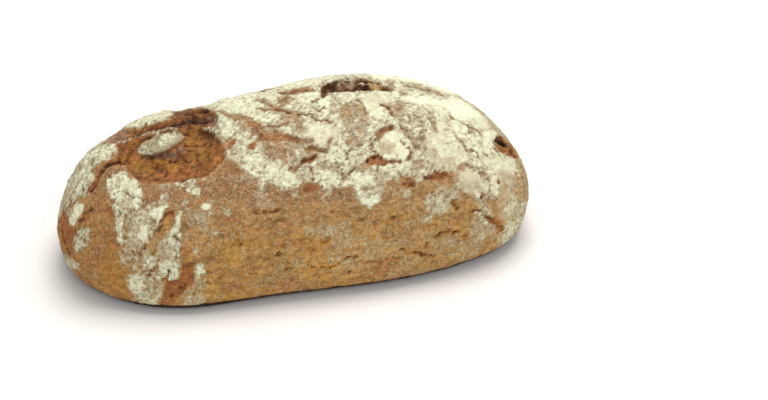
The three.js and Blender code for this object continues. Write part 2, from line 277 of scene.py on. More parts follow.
FACE = np.einsum("ij,ij->i", CAM_L - PB, NB) / np.linalg.norm(CAM_L - PB, axis=1)
SEEN = ramp(-0.02, 0.14, soften(FACE, 3))
DEPTH = np.linalg.norm(CAM_L - PB, axis=1)
X, Y, Z = PB.T

# ------------------------------------------------------------------ painting in the photo's pixels
_front = np.flatnonzero(FACE > 0.02)
_fpx, _fdep = PX[_front], DEPTH[_front]
_gu, _gv = np.gradient(PX.reshape(GRID + (2,)), axis=0).reshape(-1, 2), np.gradient(PX.reshape(GRID + (2,)), axis=1).reshape(-1, 2)
_pu, _pv = np.gradient(PB.reshape(GRID + (3,)), axis=0).reshape(-1, 3), np.gradient(PB.reshape(GRID + (3,)), axis=1).reshape(-1, 3)


def on_loaf(xy):
    """Where the line of sight through a photo pixel meets the loaf."""
    d = np.hypot(_fpx[:, 0] - xy[0], _fpx[:, 1] - xy[1])
    near = np.flatnonzero(d < d.min() + 1.2)
    k = near[np.argmin(d[near] + 0.12 * (_fdep[near] - _fdep[near].min()))]
    v = _front[k]
    m = np.array([_gu[v], _gv[v]]).T
    if abs(np.linalg.det(m)) < 0.05:
        return PB[v]
    a = np.clip(np.linalg.solve(m, np.array(xy) - PX[v]), -1, 1)
    return PB[v] + a[0] * _pu[v] + a[1] * _pv[v]


def pts(text):
    return [tuple(float(c) for c in w.split(",")) for w in text.split()]


RAG1, RAG2 = fbm(PB, 7.0, 3, 0.6, 40), fbm(PB, 2.6, 2, 0.6, 44)      # ragged edges
WANDER = PB + 1.3 * np.stack([fbm(PB, 5.0, 2, 0.6, s) for s in (61, 63, 65)], -1)


def stroke(text, radius, ragged=0.5):
    """1 on the chain of photo pixels, falling to 0 at about radius mm from it."""
    path = [on_loaf(q) for q in pts(text)]
    d = to_path(WANDER, path, max(radius * 2.5, 7))
    d = d + ragged * radius * (0.35 * RAG1 + 0.45 * RAG2)
    return 1 - ramp(0.35 * radius, 1.15 * radius, d)


def area(text, soft=2.5, ragged=1.0):
    """1 inside a closed outline of photo pixels, with a soft ragged edge."""
    poly = np.array(pts(text))
    lo, hi = poly.min(0) - 14, poly.max(0) + 14
    near = np.flatnonzero((PX > lo).all(1) & (PX < hi).all(1) & (FACE > -0.15))
    q = PX[near]
    best = np.full(len(near), 99.0); inside = np.zeros(len(near), bool)
    for a, b in zip(poly, np.roll(poly, -1, 0)):
        ab = b - a; t = np.clip((q - a) @ ab / max(ab @ ab, 1e-9), 0, 1)
        best = np.minimum(best, np.linalg.norm(q - a - t[:, None] * ab, axis=1))
        crosses = ((a[1] > q[:, 1]) != (b[1] > q[:, 1]))
        at = a[0] + (q[:, 1] - a[1]) * (b[0] - a[0]) / (b[1] - a[1] if b[1] != a[1] else 1e-9)
        inside ^= crosses & (q[:, 0] < at)
    sd = np.where(inside, -best, best) + ragged * (2.2 * RAG1[near] + 2.2 * RAG2[near])
    out = np.zeros(len(PX)); out[near] = 1 - ramp(-soft, soft, sd)
    return out


def lay(field, mask, value):
    field += (value - field) * mask


# ================================================================== flour
# amount of flour, softness of the edge, outline; later ones lie over earlier ones
FLOUR_AREAS = [
    # the floured crown and right end
    (0.88, 2.0, "203,105 225,94 262,84 300,72 340,62 400,62 442,76 470,92 492,112 512,138 532,165 538,195 532,225 512,246 498,248 489,240 "
                "478,228 468,222 474,210 486,203 490,196 480,188 468,178 455,172 440,167 428,173 418,176 408,174 398,177 388,179 383,183 380,192 "
                "378,201 372,207 364,206 358,198 354,191 350,188 340,187 330,188 320,186.5 312,184 306,181 301,183 298,187 290,188 284,190 278,188 272,184 "
                "267,180 265,190 260,192 257,183 250,180 246,177 241,171 236,165 230,161 226,157 226,147 221,142 214,136 208,130 214,125 218,118 211,110"),
    (0.12, 1.8, "212,109 222,110 233,114 242,118 250,119 256,122 263,126 272,130 279,132 288,133 296,136 304,138.5 311,140 309,143.5 300,144 292,142 284,142 277,144 "
                "270,143 263,142 257,140 253,135 251,131 246,127 241,121 232,117.5 222,114"),
    (0.42, 1.8, "263,126 272,127 280,127 283,131 276,133 268,131"),
    (0.48, 1.8, "264,143 271,143 277,148 279,158 274,163 268,160 265,152"),
    (0.08, 1.8, "275,143 282,146 288,153 288,163 284,166 279,158 277,150"),
    (0.50, 1.8, "284,143 300,144 309,146 318,152 322,158 314,163 304,166 296,167 290,164 288,154"),
    (0.20, 1.6, "302,143 310,144 318,150 312,154 304,152"), (0.10, 1.5, "300,163 304,158 310,155 316,154 316,159 309,163 303,165"),
    (0.08, 1.5, "310,144 317,148 327,149 326,152 315,152 309,149"), (0.18, 1.6, "289,163 297,162 299,170 294,174 290,169"),
    (0.66, 1.8, "298,165 312,165 312,184 304,181 299,178"), (1.10, 1.8, "313,167 326,165 336,172 339,180 336,187 324,187 315,182"),
    (0.55, 2.0, "318,158 330,162 340,166 348,172 344,179 337,173 328,168 320,166"), (0.50, 2.0, "336,168 348,168 352,176 347,182 338,180"),
    (1.15, 2.0, "350,175 356,170 366,171 372,178 376,186 380,192 378,201 372,207 365,206 358,196 352,187"), (0.70, 1.6, "362,188 376,186 378,192 366,193"),
    (0.92, 1.8, "300,118 310,118 322,123 334,124 343,128 343,134 335,138 331,143 322,148 314,146 306,141 300,137 301,128"),
    (1.02, 1.8, "327,152 331,146 340,144 352,146 361,150 361,158 350,163 338,162 330,158"),
    (0.86, 2.0, "322,98 340,95 349,98 345,108 338,116 324,118 314,112 316,104"), (0.42, 2.0, "338,106 350,104 358,110 356,122 346,122 339,116"),
    (0.25, 1.6, "342,109 349,108 350,119 344,120"), (0.58, 2.0, "345,122 360,120 368,128 368,142 360,148 350,148 344,142 350,134"),
    (0.30, 1.6, "346,138 353,137 353,146 347,146"), (1.0, 1.5, "284,124 290,122.5 296,128 297,133 290,134 285,130"),
    (0.22, 1.5, "295,121 301,122 302,138 298,138 297,130"), (0.30, 1.8, "281,110 290,113 299,116 301,124 296,125 290,120 283,118"),
    (0.30, 1.8, "255,97 263,100 272,104 280,108 284,111 278,111 270,108 262,105 256,101"), (0.30, 1.6, "279,102 284,98 292,98 292,101 284,102"),
    (1.12, 2.0, "300,91.5 312,91 320,92 316,99 312,104 302,104 296,99 294,95"), (1.12, 1.8, "262,109 270,109 280,113 284,119 276,122 266,121 258,119"),
    (1.08, 2.0, "208,104 230,94 262,84 300,76 330,70 330,78 322,83 320,88 310,88 298,89 290,91 276,91 284,95 292,96 284,98 276,99 266,98 258,96 254,99 262,103 258,108 262,116 250,116 240,115 230,111 220,108 208,107"),
    (0.96, 2.0, "247,150 252,146 260,145 264,151 265,160 272,162 278,164 286,168 290,175 294,174 299,178 299,186 290,187 284,189 278,187 270,180 262,178 252,177 246,172 244,160"),
    (0.95, 1.8, "218,120 228,121 238,124 244,130 248,136 242,140 236,137 228,139 222,136 216,130 214,127"),
    (0.80, 1.8, "228,150 238,144 246,152 244,164 236,164 230,158"),
    (1.02, 2.0, "362,94 380,92 392,93 397,99 392,104 385,103 381,106 388,114 394,118 396,122 386,124 376,128 366,131 359,124 360,110"),
    (0.52, 2.0, "396,100 410,103 416,110 420,120 425,130 423,142 424,148 414,150 406,140 398,132 397,126 402,120 394,116 392,108"),
    (0.34, 1.8, "396,106 402,106 412,112 418,119 419,122 410,121 402,120 398,116"), (0.55, 1.8, "427,110 434,112 438,124 436,134 430,130"),
    (0.90, 2.5, "438,122 446,127 452,131 458,138 462,144 465,150 466,158 460,163 450,163 440,164 430,160 428,148 434,140 436,132"),
    (0.08, 1.3, "374,141 374.5,135 379,130 386,127 393,126 392,129.5 387,132 384,137 379,142"),
    (1.04, 1.8, "380,140 386,133 396,130 404,134 407,141 411,146 412,152 409,158 402,160 392,161 384,158 378,154 374,148 374,143"),
    (0.80, 1.5, "378,146 388,144 392,148 386,152 380,151"),
    (0.98, 1.8, "368,168 380,165 400,164 412,163 426,165 436,167 428,172 420,174 412,175 404,174 396,176 388,178 380,177 372,173"),
    (0.62, 1.5, "378,180 386,178 386,187 380,190"),
    (1.30, 3.0, "396,96 404,94 412,95 424,97 436,98 446,99 456,96 464,100 474,108 484,120 492,132 494,140 486,140 480,136 474,130 466,124 458,120 452,116 450,111 440,106 428,106 416,104 404,101"),
    (1.12, 2.5, "384,82 396,80 402,86 400,92 410,93 420,94 416,99 404,98 396,96 390,92"),
    (1.10, 2.0, "452,122 460,122 468,126 474,131 482,137 490,142 494,150 486,156 478,154 470,150 464,142 458,134 450,128"),
    # right end
    (0.62, 2.0, "480,166 488,166 492,176 490,186 482,180"), (0.94, 2.2, "486,172 492,160 500,157 510,158 514,168 508,180 506,192 504,203 506,214 510,222 514,226 512,238 504,248 499,244 503,232 506,224 502,214 500,204 495,198 492,188 490,180"),
    (0.42, 2.0, "508,178 514,172 521,176 522,190 518,198 511,196 507,188"), (0.34, 2.0, "518,166 526,168 530,182 530,198 524,202 520,190"),
    (0.78, 2.0, "506,203 518,199 532,198 530,214 523,229 513,241 507,246 512,234 514,224 509,214"),
    # thin grey flour, right part of the front
    (0.62, 2.0, "459,171 466,167 472,170 478,174 486,179 490,185 492,194 488,199 480,197 472,195 466,193 458,189 453,187 456,178"),
    (0.70, 2.0, "424,197 434,190 446,190 454,193 460,198 452,204 448,212 438,215 426,211"), (0.30, 2.0, "444,188 456,186 460,196 452,200 444,194"),
    (0.85, 1.5, "478,202 484,200 487,206 484,212 479,210"), (0.48, 2.0, "462,218 470,213 478,214 484,221 492,228 498,237 490,245 478,245 470,236 466,226"),
    (0.34, 2.5, "436,244 452,238 470,240 482,246 474,256 456,260 440,254"),
    (0.36, 2.2, "302,226 322,223 338,228 334,240 318,238 306,236"), (0.36, 1.8, "338,222 350,224 350,238 342,240"), (0.28, 2.5, "382,244 400,238 404,250 390,256"),
    (0.26, 2.2, "342,258 360,256 366,268 348,272"), (0.50, 1.8, "257,188 266,188 268,198 264,208 258,206 256,196"),
    (0.60, 1.5, "291,189 298,189 298,196 292,196"), (0.50, 1.5, "322,189 330,189 331,197 323,198"), (0.46, 1.5, "321,198 328,199 327,206 322,205"),
    (0.75, 1.5, "404,190 411,190 412,197 405,198"), (0.30, 2.0, "262,198 276,200 274,210 262,212"),
    # below the crater
    (0.36, 2.0, "154,183 170,183 172,192 160,194"), (0.66, 1.8, "171,182 182,180 194,178 197,182 194,186 184,188 174,189"), (0.92, 1.5, "184,188 190,185 197,186 201,190 199,194 192,194 186,192"),
    (0.80, 1.3, "201,177 206,178 206,181 201,181"), (0.16, 2.2, "200,184 222,172 240,176 248,186 240,200 222,206 206,200"), (0.62, 1.4, "240,176 248,176 248,181 241,180"),
    # the left shoulder and end
    (0.62, 2.2, "54,215 58,196 66,176 78,160 92,147 106,139 112,141 100,160 92,170 80,186 72,200 66,212"),
    (1.08, 2.0, "82,166 90,152 100,144 108,142 116,143.5 117,150 113,158 106,161 100,164 94,168 88,169"),
    (0.90, 1.8, "78,172 86,168 92,170 96,176 97,182 93,186 90,192 86,196 80,196 74,199 70,204 68,196 72,186 73,180"), (0.45, 1.4, "78,186 84,184 85,192 80,193"),
    (0.20, 1.5, "76,164 82,165 81,171 76,170"), (1.15, 1.4, "70,225 70,216 72,208 76,203 82,202 84,206 81,212 78,218 75,224"),
    (0.92, 1.5, "74,240 77,232 81,228 85,231 85,236 89,240 87,246 82,250 76,251 73,247"), (0.40, 1.3, "79,236 83,236 84,242 80,243"),
    (0.85, 1.8, "62,254 72,258 79,264 78,270 70,268 64,262"),
    (1.05, 1.8, "108,180 113,174 120,171 125,173 130,178 136,180 140,186 142,194 142,200 138,206 132,210 124,210 118,206 113,198 108,192 106,186"),
    (0.60, 2.0, "122,208 140,208 150,204 152,226 148,246 152,262 148,270 138,272 126,268 120,262 119,250 122,246 126,236 126,222"),
    (0.98, 1.5, "114,214 121,209 126,212 124,222 124,232 125,242 122,246 118,243 117,236 115,226"),
    (0.95, 1.4, "148,226 153,226 153,240 147,240"), (1.12, 1.4, "139,236 141,228 146,224 151,227 151,238 146,243 142,244"), (1.15, 1.4, "150,206 156,203 161,200 166,203 168,208 164,213 162,219 160,225 156,226 152,218 149,212"),
    (0.98, 1.3, "160,196 164,193 168,196 167,201 161,201"), (1.02, 1.3, "180,200 185,198 188,201 185,205 180,204"), (1.12, 1.4, "201,206 206,202 212,203 214,208 208,211 202,210"),
    (0.62, 1.8, "175,212 180,212 181,222 182,236 183,246 182,262 176,268 164,266 158,258 156,246 160,240 166,232 172,228 174,222"),
    (0.98, 1.3, "174,213 179,212 181,221 176,224"), (0.90, 1.4, "168,234 175,231 177,239 170,241"), (0.88, 1.5, "168,246 180,244 181,255 172,257"),
    (0.72, 1.6, "156,262 166,258 172,262 170,270 160,270"), (1.20, 1.3, "163,271 168,267 175,265 180,267 180,275 177,280 171,282 165,279"),
    (0.80, 1.6, "128,278 134,272 144,272 152,268 160,270 164,276 164,284 162,292 160,300 156,307 148,307 138,305 132,297 128,288"),
    (1.00, 1.4, "131,277 138,273 143,277 143,287 142,296 136,296 131,288"), (0.62, 1.6, "146,276 156,276 160,286 156,298 147,296"), (0.55, 1.6, "140,262 150,262 154,268 146,272 138,270"),
    (1.08, 1.3, "194,268 198,263 203,264 205,270 203,276 198,278 195,275"), (0.60, 1.8, "193,280 199,277 206,278 207,286 202,292 206,302 197,306 187,307 181,304 185,296 190,288"),
    (0.70, 1.3, "208,211 215,212 214,216 209,216"), (0.62, 1.3, "190,216 195,217 194,223 190,222"), (0.50, 1.6, "208,228 218,228 218,236 210,236"),
    (0.62, 1.3, "225,209 230,210 229,215 225,215"), (0.70, 1.3, "193,249 198,250 197,257 193,256"), (0.35, 2.0, "186,206 204,212 212,222 200,232 188,224"),
    # small corrections
    (1.20, 2.0, "318,93 328,93 330,104 326,112 319,110"), (0.68, 2.0, "402,104 412,104 420,112 424,128 420,138 410,134 404,120"),
    (0.62, 2.0, "291,150 302,152 304,162 300,168 293,164"), (0.90, 2.0, "305,167 320,167 322,180 312,182 306,178"), (0.60, 1.5, "316,163 328,163 328,171 318,172"),
    (0.35, 2.0, "424,166 440,163 456,162 458,172 446,176 430,178"), (0.85, 2.0, "460,166 470,165 480,172 480,180 468,182 460,178"), (0.85, 2.0, "478,180 490,180 494,192 488,199 480,194"),
    (0.90, 2.0, "76,228 90,228 90,240 80,242"), (0.75, 2.0, "57,204 64,203 64,216 58,218"), (1.00, 1.6, "146,258 156,257 158,268 150,272 145,266"), (0.95, 1.6, "169,229 178,228 181,240 174,244 169,238"),
    (0.10, 1.6, "230,113 240,111 250,117 258,122 262,127 252,126 244,123 234,119"),     (0.30, 1.8, "270,107 284,112 294,116 300,122 300,128 292,124 284,119 274,113"), (0.28, 1.5, "296,120 303,122 304,138 298,139"),
    (0.45, 2.0, "352,101 362,101 370,112 368,126 358,126 352,114"), (0.50, 1.6, "381,102 389,103 390,110 383,110"), (0.42, 1.8, "385,79 395,80 396,90 388,91"), (0.60, 2.0, "424,147 436,147 438,160 428,160"),
    (0.60, 2.0, "466,123 482,125 490,119 494,130 484,134 470,133"), (0.60, 1.6, "360,186 371,187 371,197 362,197"), (0.55, 1.6, "373,185 383,186 382,195 374,195"), (0.20, 1.6, "111,152 118,151 118,159 110,160"),
    (0.36, 1.6, "476,204 487,204 487,215 478,216"), (0.20, 1.6, "492,209 502,209 503,221 494,221"), (0.62, 1.6, "501,189 511,189 511,200 502,200"),
    (0.92, 1.4, "194,103 204,101 213,104 220,108 216,111 206,107.5 196,106"), (0.75, 2.2, "72,176 86,162 96,158 98,166 88,176 78,188 70,196"),
    (1.02, 1.6, "236,108 248,108 262,107 264,116 258,118 248,114 238,111.5"), (0.10, 1.5, "227,113.5 236,115 246,118.5 256,122 262,125 254,127.5 244,125 234,120.5 228,117.5"),
    (0.42, 1.5, "214,133 222,134 226,140 226,148 220,150 216,142"), (0.30, 1.6, "277,92 287,90 296,87 304,87 313,88.5 313,90.5 302,91.5 296,94 288,96 280,94"),
    (0.40, 1.4, "278,98 290,97 291,101 279,102"), (0.95, 2.0, "324,76 344,74 362,77 372,80 362,78.5 350,76.5 336,78 326,83"), (0.95, 2.0, "340,93 352,91.5 362,93 362,102 350,100 341,99"),
    (0.90, 1.8, "378,117 390,117 394,122 386,124 379,126"), (0.62, 1.6, "376,141 388,140 396,144 392,152 380,152"), (0.92, 1.6, "368,150 376,150 374,157 366,160 362,158"),
    (0.85, 1.8, "294,150 304,152 306,163 300,168 294,164"), (0.45, 1.6, "320,166 334,165 336,172 324,173"), (0.60, 1.6, "356,166 368,166 368,174 357,173"),
    (0.55, 1.6, "246,173 258,174 260,181 248,180"), (0.60, 1.5, "282,185 292,185 292,190 283,190"), (1.0, 1.6, "312,170 320,170 321,184 313,184"),
    (1.0, 2.0, "425,160 440,160 442,169 436,173 427,172"), (0.92, 2.0, "440,162 456,162 457,170 444,171"), (0.62, 1.5, "325,226 335,226 335,233 327,233"),
    (0.72, 1.6, "121,197 130,197 131,205 122,206"), (0.95, 1.6, "131,201 142,201 141,210 132,210"), (0.35, 1.5, "115,209 122,209 122,222 116,222"), (0.55, 1.5, "150,200 164,199 164,206 152,207"),
    (0.95, 1.6, "171,223 180,223 181,246 174,247"), (0.95, 2.2, "68,178 82,162 94,156 98,162 90,172 80,184 72,194 67,190"), (0.80, 2.0, "58,198 66,194 66,214 58,217"),
    (0.45, 1.6, "458,94 470,98 474,106 464,102"), (1.10, 1.8, "486,131 498,131 500,138 488,139"), (0.95, 1.8, "466,117 486,117 488,130 470,129"),
    (0.98, 1.8, "105,141 116,141 117,151 106,152"), (0.72, 1.6, "420,215 432,213 433,222 422,224"),
    (0.50, 1.4, "258,106 270,106 282,108 284,112 270,112 260,111"), (0.30, 1.4, "278,99 291,98 292,106 280,107"), (0.80, 1.0, "258,91 270,87 286,82.5 286,86 272,90.5 260,94"),
    (0.45, 1.6, "411,165 420,165 420,173 411,173"), (0.50, 1.5, "362,167 371,167 371,175 363,175"), (0.60, 1.5, "376,172 386,172 386,179 377,179"), (0.62, 2.0, "498,170 512,172 512,202 501,202 498,184"),
    (0.92, 2.0, "407,103 419,104 420,116 409,114"), (0.80, 2.0, "403,122 416,122 417,138 408,136"), (0.92, 2.0, "418,114 429,114 429,134 420,134"), (1.05, 2.0, "436,106 450,108 450,122 438,122"),
    (0.55, 1.5, "380,149 396,149 397,154 382,154"), (1.12, 1.6, "399,164 409,164 410,172 400,173"), (0.90, 1.6, "473,191 484,190 484,203 475,204"), (1.15, 1.6, "484,131 495,133 495,142 485,141"),
    (0.95, 1.6, "505,159 518,161 520,171 508,171"), (0.85, 2.0, "364,91 380,90 386,106 372,112 364,104"), (1.0, 1.6, "232,111 250,111 260,116 248,116.5 236,114"),
    (0.52, 1.8, "66,168 84,166 84,176 68,178"), (0.92, 1.6, "79,181 90,181 90,194 80,195"), (0.55, 1.8, "444,188 460,186 462,206 450,206"),
    (0.34, 1.6, "262,142 286,142 288,160 272,160 264,154"), (0.30, 2.0, "322,240 398,236 404,262 330,272"), (0.24, 2.0, "278,262 300,260 302,284 280,286"),
    (0.12, 2.0, "312,204 326,204 326,214 312,214"),
    (0.22, 1.5, "275,142 281,146 287,156 288,166 282,162 277,152"), (0.60, 1.6, "266,106 276,107 286,112 284,116 274,115 266,112"), (0.48, 1.6, "282,116 292,117 297,127 291,128 284,124"),
    (0.45, 1.6, "236,119 246,120 250,130 242,130 236,124"), (0.18, 1.6, "222,140 230,139 230,149 223,149"), (0.95, 1.6, "430,169 452,169 452,175 440,175 430,177 418,183 416,178"), (0.45, 1.6, "417,162 425,162 425,170 418,170"),
    (0.68, 1.6, "424,158 456,158 456,167 440,166 426,165"), (0.78, 1.8, "456,139 467,138 467,151 457,150"), (0.52, 1.8, "499,184 510,184 510,206 499,206"), (0.50, 1.8, "499,212 507,212 507,226 500,224"),
    (0.45, 1.8, "492,235 503,233 500,246 490,246"), (0.95, 1.6, "340,168 352,168 352,178 340,178"), (0.44, 1.5, "64,208 71,208 71,217 65,217"), (0.80, 1.6, "78,160 96,152 98,160 84,168"),
    (0.50, 1.6, "111,161 119,159 119,168 112,168"), (0.85, 1.6, "114,205 123,205 123,214 114,214"), (0.50, 1.6, "160,252 173,252 171,263 160,264"), (0.28, 1.8, "98,240 104,240 104,258 98,258"),
    (0.58, 1.8, "192,276 203,274 201,288 193,290"),
    (1.02, 1.8, "257,166 272,170 290,175 295,183 283,186 268,180 258,173"), (0.85, 1.6, "300,155 307,155 307,165 301,167"), (0.95, 1.8, "82,153 97,150 98,160 86,166"),
    (0.95, 1.8, "76,170 92,166 92,184 82,194 74,190"), (1.15, 1.6, "242,105 264,103 264,110 246,112"), (0.45, 1.6, "148,219 157,220 156,231 149,230"), (0.95, 1.6, "169,231 178,232 176,252 168,250"),
    (1.15, 1.6, "158,261 174,261 174,274 159,274"), (0.22, 1.6, "244,176 258,177 259,185 246,185"),
    # far strip behind the crater
    (1.02, 1.4, "124,133 128,127 138,121 150,115.5 162,110.5 170,109 174,112 172,118 165,121 155,124.5 143,128 132,131"),
]
# bare skin: value left, softness, outline
BARE_AREAS = [
    (0.40, 1.2, "458,93 468,99 478,106 488,114 497,126 506,138 512,147 522,162 528,178 530,190 524,177 515,162 508,151 500,139 489,121 478,110 466,101"),
    (0.58, 1.5, "403,82 412,83 424,86 436,90 446,94 442,97 430,93 416,89 404,87"), (0.45, 1.4, "399,91 408,91 408,96 400,96"),
    (0.00, 1.6, "302,186 305,182 312,182 318,187 314,193 304,192"), (0.02, 1.4, "404,182 413,181 415,186 410,189 404,187"),
    (0.06, 1.8, "412,192 418,188 426,186 434,187 430,192 424,196 418,201 410,200"),
    (0.15, 1.6, "423,177 430,174 438,171.5 446,171.5 452,174 450,180 444,184 436,184 428,181"), (0.28, 1.4, "457,168 460,164.5 465,162.5 469,164 465,168 459,171"),
    (0.12, 1.8, "452,200 462,198 474,200 478,206 474,212 470,221 464,222 458,216 452,208"), (0.28, 1.8, "486,199 499,199 501,212 494,214 487,208"),
    (0.03, 1.5, "480,213 486,214 494,218 502,220 505,226 503,233 498,232 494,226 488,222 482,218"), (0.15, 1.6, "484,240 491,240 491,246 485,246"),
    (0.03, 1.4, "164,227 166,218 171,212 175,212 174,219 174,226 169,232 163,237 157,239 156,234 161,230"),
    (0.02, 1.5, "182,248 190,249 197,256 195,262 194,270 194,280 188,288 180,295 174,301 170,306 162,306 160,300 163,293 166,286 166,280 172,281 178,280 182,274 182,262"),
    (0.02, 1.3, "226,142 231,139 236,139 234,145 228,149"), (0.02, 1.3, "248,147 251,142 258,140 256,145 252,149"),
    (0.05, 1.8, "222,163 230,161 238,165 242,172 234,172 226,168"), (0.03, 1.6, "78,226 79,219 83,213 88,207 94,205 97,211 92,218 86,224"),
    (0.05, 1.6, "140,181 150,182 153,190 150,194 146,192 142,186"), (0.06, 1.6, "206,128 212,132 217,137 219,142 214,140 208,135"),
    (0.00, 1.4, "61,213 66,210 68,218 68,226 74,228 78,228 74,234 72,242 72,250 70,257 66,253 62,244 60,232 59,222"),
    (0.02, 1.4, "496,138.5 501,138.5 507,143 514,149 518,153 519,157 512,157 505,154 498,152 494,148"),
    (0.00, 1.2, "366,164 368,158 374,156 380,157 384,160 390,162 386,164 376,165"),
    (0.02, 1.6, "116,161 118,152 124,145 130,141 138,138.5 146,136 154,133.5 162,131.5 168,131 164,134 156,137 148,139.5 142,142 138,147 137,153 133,158 128,163 122,165 112,168 104,173 99,183 91,193 87,189 94,181 97,169 107,162"),
    (0.06, 1.5, "106,143 110,138 116,134 124,131 130,130.5 138,129.5 146,127 154,124 162,121.5 170,119 176,117.5 181,118 181,124 176,127 168,128.5 160,129.5 152,131 144,134 136,137 128,140 120,142 112,144"),
]
FL = 0.11 + 0.09 * ramp(330, 420, PX[:, 0]) - 0.08 * (1 - ramp(100, 150, PX[:, 0]))
for v, s, o in FLOUR_AREAS:
    lay(FL, area(o, s), v)
for v, s, o in BARE_AREAS:
    lay(FL, area(o, s, 0.7), v)

# the side turned away: floured crown, ends floured lower down, bare lower side with spots
hid = 0.13 + 0.80 * ramp(58, 84, Z + 10 * fbm(PB, 42, 2, 0.5, 61) + 20 * ramp(0.55, 1.0, np.abs(X) / 150))
hid += 0.75 * ramp(0.18, 0.5, fbm(PB, 26, 2, 0.5, 63)) * ramp(16, 50, Z) * (1 - ramp(60, 85, Z))
hid -= 0.65 * ramp(0.12, 0.42, fbm(PB, 22, 2, 0.5, 67)) * ramp(55, 80, Z)
hid = np.clip(hid, 0.05, 1.1)
FL = hid + (FL - hid) * SEEN

# ================================================================== the crater, pits, bare skin
CRATER = area("124,163 128,170 134,176 141,180 150,182 160,182.5 172,182 184,180 194,178 201,178 208,174 214,169 221,163 224,157 223,149 220,143 214,136 211,132 204,129 199,127 "
              "205,127 214,126 217,122 217,116 211,112 204,109 199,106 190,105 179,106.5 172,112 163,121 154,124 146,127 138,129.5 130,131 118,135 110,140 108,144 "
              "116,144 118,150 116,158 110,162", 1.0, 0.7)
ISLAND = area("138,153 137,149 141,143 149,138 157,133.5 165,130.5 173,129.5 180,131 184,135 183,139 178,143.5 171,148 161,152 150,155 142,156", 1.2, 0.4)
RIDGE = stroke("110,144 118,142.5 124,141 130,139 136,136.5 142,134.5 148,132.5 154,130.5 160,129.5 166,128.5 172,128.5 177,130", 1.5, 0.4)
RED = np.zeros(len(PB))
for o in ["61,213 66,210 68,218 68,226 74,228 78,228 74,234 72,242 72,250 70,257 66,253 62,244 60,232 59,222", "182,262 196,262 194,270 194,280 188,288 180,295 174,301 170,306 162,306 160,300 163,293 166,286 166,280 172,281 178,280 182,274",
          "226,142 231,139 236,139 234,145 228,149", "248,147 251,142 258,140 256,145 252,149", "366,164 368,158 374,156 380,157 384,160 390,162 386,164 376,165",
          "493,143 500,146 508,150 516,151 520,158 512,158 505,154 498,152 493,149", "404,182 413,181 415,186 410,189 404,187", "302,187 306,183 312,183 317,187 312,192 304,192",
          "482,214 490,217 502,222 504,230 498,231 492,225 484,220", "80,222 84,213 90,208 95,210 90,218 84,224", "428,176 440,170 450,166 455,170 448,180 434,182",
          "300,163 304,158 310,155 316,154 316,159 309,163", "258,134 266,134 273,139 266,140 259,139", "162,218 166,212 174,211 172,217 166,219"]:
    RED = np.maximum(RED, area(o, 1.4, 0.5))
RED = np.maximum(RED, 0.85 * area("116,161 118,152 124,145 130,141 138,138.5 146,136 154,133.5 162,131.5 168,131 164,134 156,137 148,139.5 142,142 138,147 137,153 133,158 128,163 122,165 112,168 104,173 99,183 91,193 87,189 94,181 97,169 107,162", 1.4))
lay(FL, CRATER, 0.0)
lay(FL, ISLAND, 0.55)
lay(FL, area("160,137 167,132 175,131 180,134 173,139 165,143 158,144", 1.5, 0.5), 0.98)
lay(FL, area("138,150 144,151 152,150 158,151 150,154 142,155", 1.2, 0.4), 1.0)
lay(FL, area("146,143 155,140 158,146 148,149", 1.2, 0.6), 0.34)
# painted shadow: less flour, so greyer, on the island's lower right side, which lies in its shade
lay(FL, area("152,154 160,151 167,148.5 172,145 177,141 183,138 185,140 183,146 178,151 170,154.5 160,157 150,158 142,158 143,156", 1.1, 0.4), 0.18)
lay(FL, RIDGE, 0.40 + 0.40 * ramp(146, 158, PX[:, 0]) * (1 - ramp(172, 180, PX[:, 0])))
lay(FL, stroke("203,128.5 210,128.5 218,128", 1.5), 0.7)
lay(FL, area("160,111 168,109 174,110.5 171,116 164,118", 1.4), 1.0)
lay(FL, area("360,80 366,80 369,84 364,86 360,84", 1.2), 0.7)
lay(FL, area("207,114 216,114 218,122 211,126 205,122", 1.6), 0.30)
PITMASK = area("321,92 324,87 330,83 338,80 346,78 356,78 366,81 376,84 386,87 393,88.5 386,90.5 376,90.5 364,91 352,90.5 344,90.5 336,91 329,93 323,97.5", 1.0, 0.4)
lay(FL, PITMASK, 0.02)
lay(FL, area("334,82 341,79.5 350,77.5 358,78.5 361,82 356,84 350,84.5 342,86 337,86", 1.2), 0.86)
lay(FL, area("338,86 346,85 352,86 350,89 342,89", 1.2), 0.30)
lay(FL, area("366,81 374,82.5 382,85 388,87 382,87 374,85 368,84", 1.0), 0.35)
lay(FL, area("360,79.5 368,80.5 371,85 368,88.5 363,86.5", 1.2), 1.0)
SKYLINE = area("366,71 390,71 406,73 422,76 440,81 458,89 455,95 446,93 432,88 418,83.5 404,80.5 388,79 372,78.5", 1.4, 0.8)
SKYLINE = SKYLINE * ramp(-0.10, 0.01, soften(FACE, 3) + 0.07 * RAG1 + 0.05 * RAG2)      # fades out over the crown
lay(FL, SKYLINE, 1.28)

# flour rubbed smooth
EVEN = np.zeros(len(PB))
for o in ["428,128 440,121 456,128 468,146 470,160 458,166 440,166 428,160", "456,98 474,106 492,122 500,134 490,142 478,130 462,116", "480,158 500,156 516,162 522,178 512,200 506,222 500,236 494,214 498,196 488,176",
          "378,143 386,134 396,131 404,135 408,142 411,150 406,157 392,160 380,155 375,149", "404,96 424,98 446,100 462,104 470,116 452,116 430,106 410,103", "306,120 322,124 340,128 340,136 326,146 308,140",
          "452,170 470,166 482,176 488,188 480,196 462,190", "360,94 384,92 388,100 378,106 384,118 372,124 362,112", "262,84 300,73 334,66 334,76 300,84 270,90"]:
    EVEN = np.maximum(EVEN, area(o, 4.0, 0.8))
EVEN = np.maximum(EVEN, 0.8 * SKYLINE)
EVEN = np.maximum(EVEN, 0.6 * (1 - SEEN) * ramp(0.1, 0.4, fbm(PB, 30, 2, 0.5, 157)) * ramp(50, 75, Z))

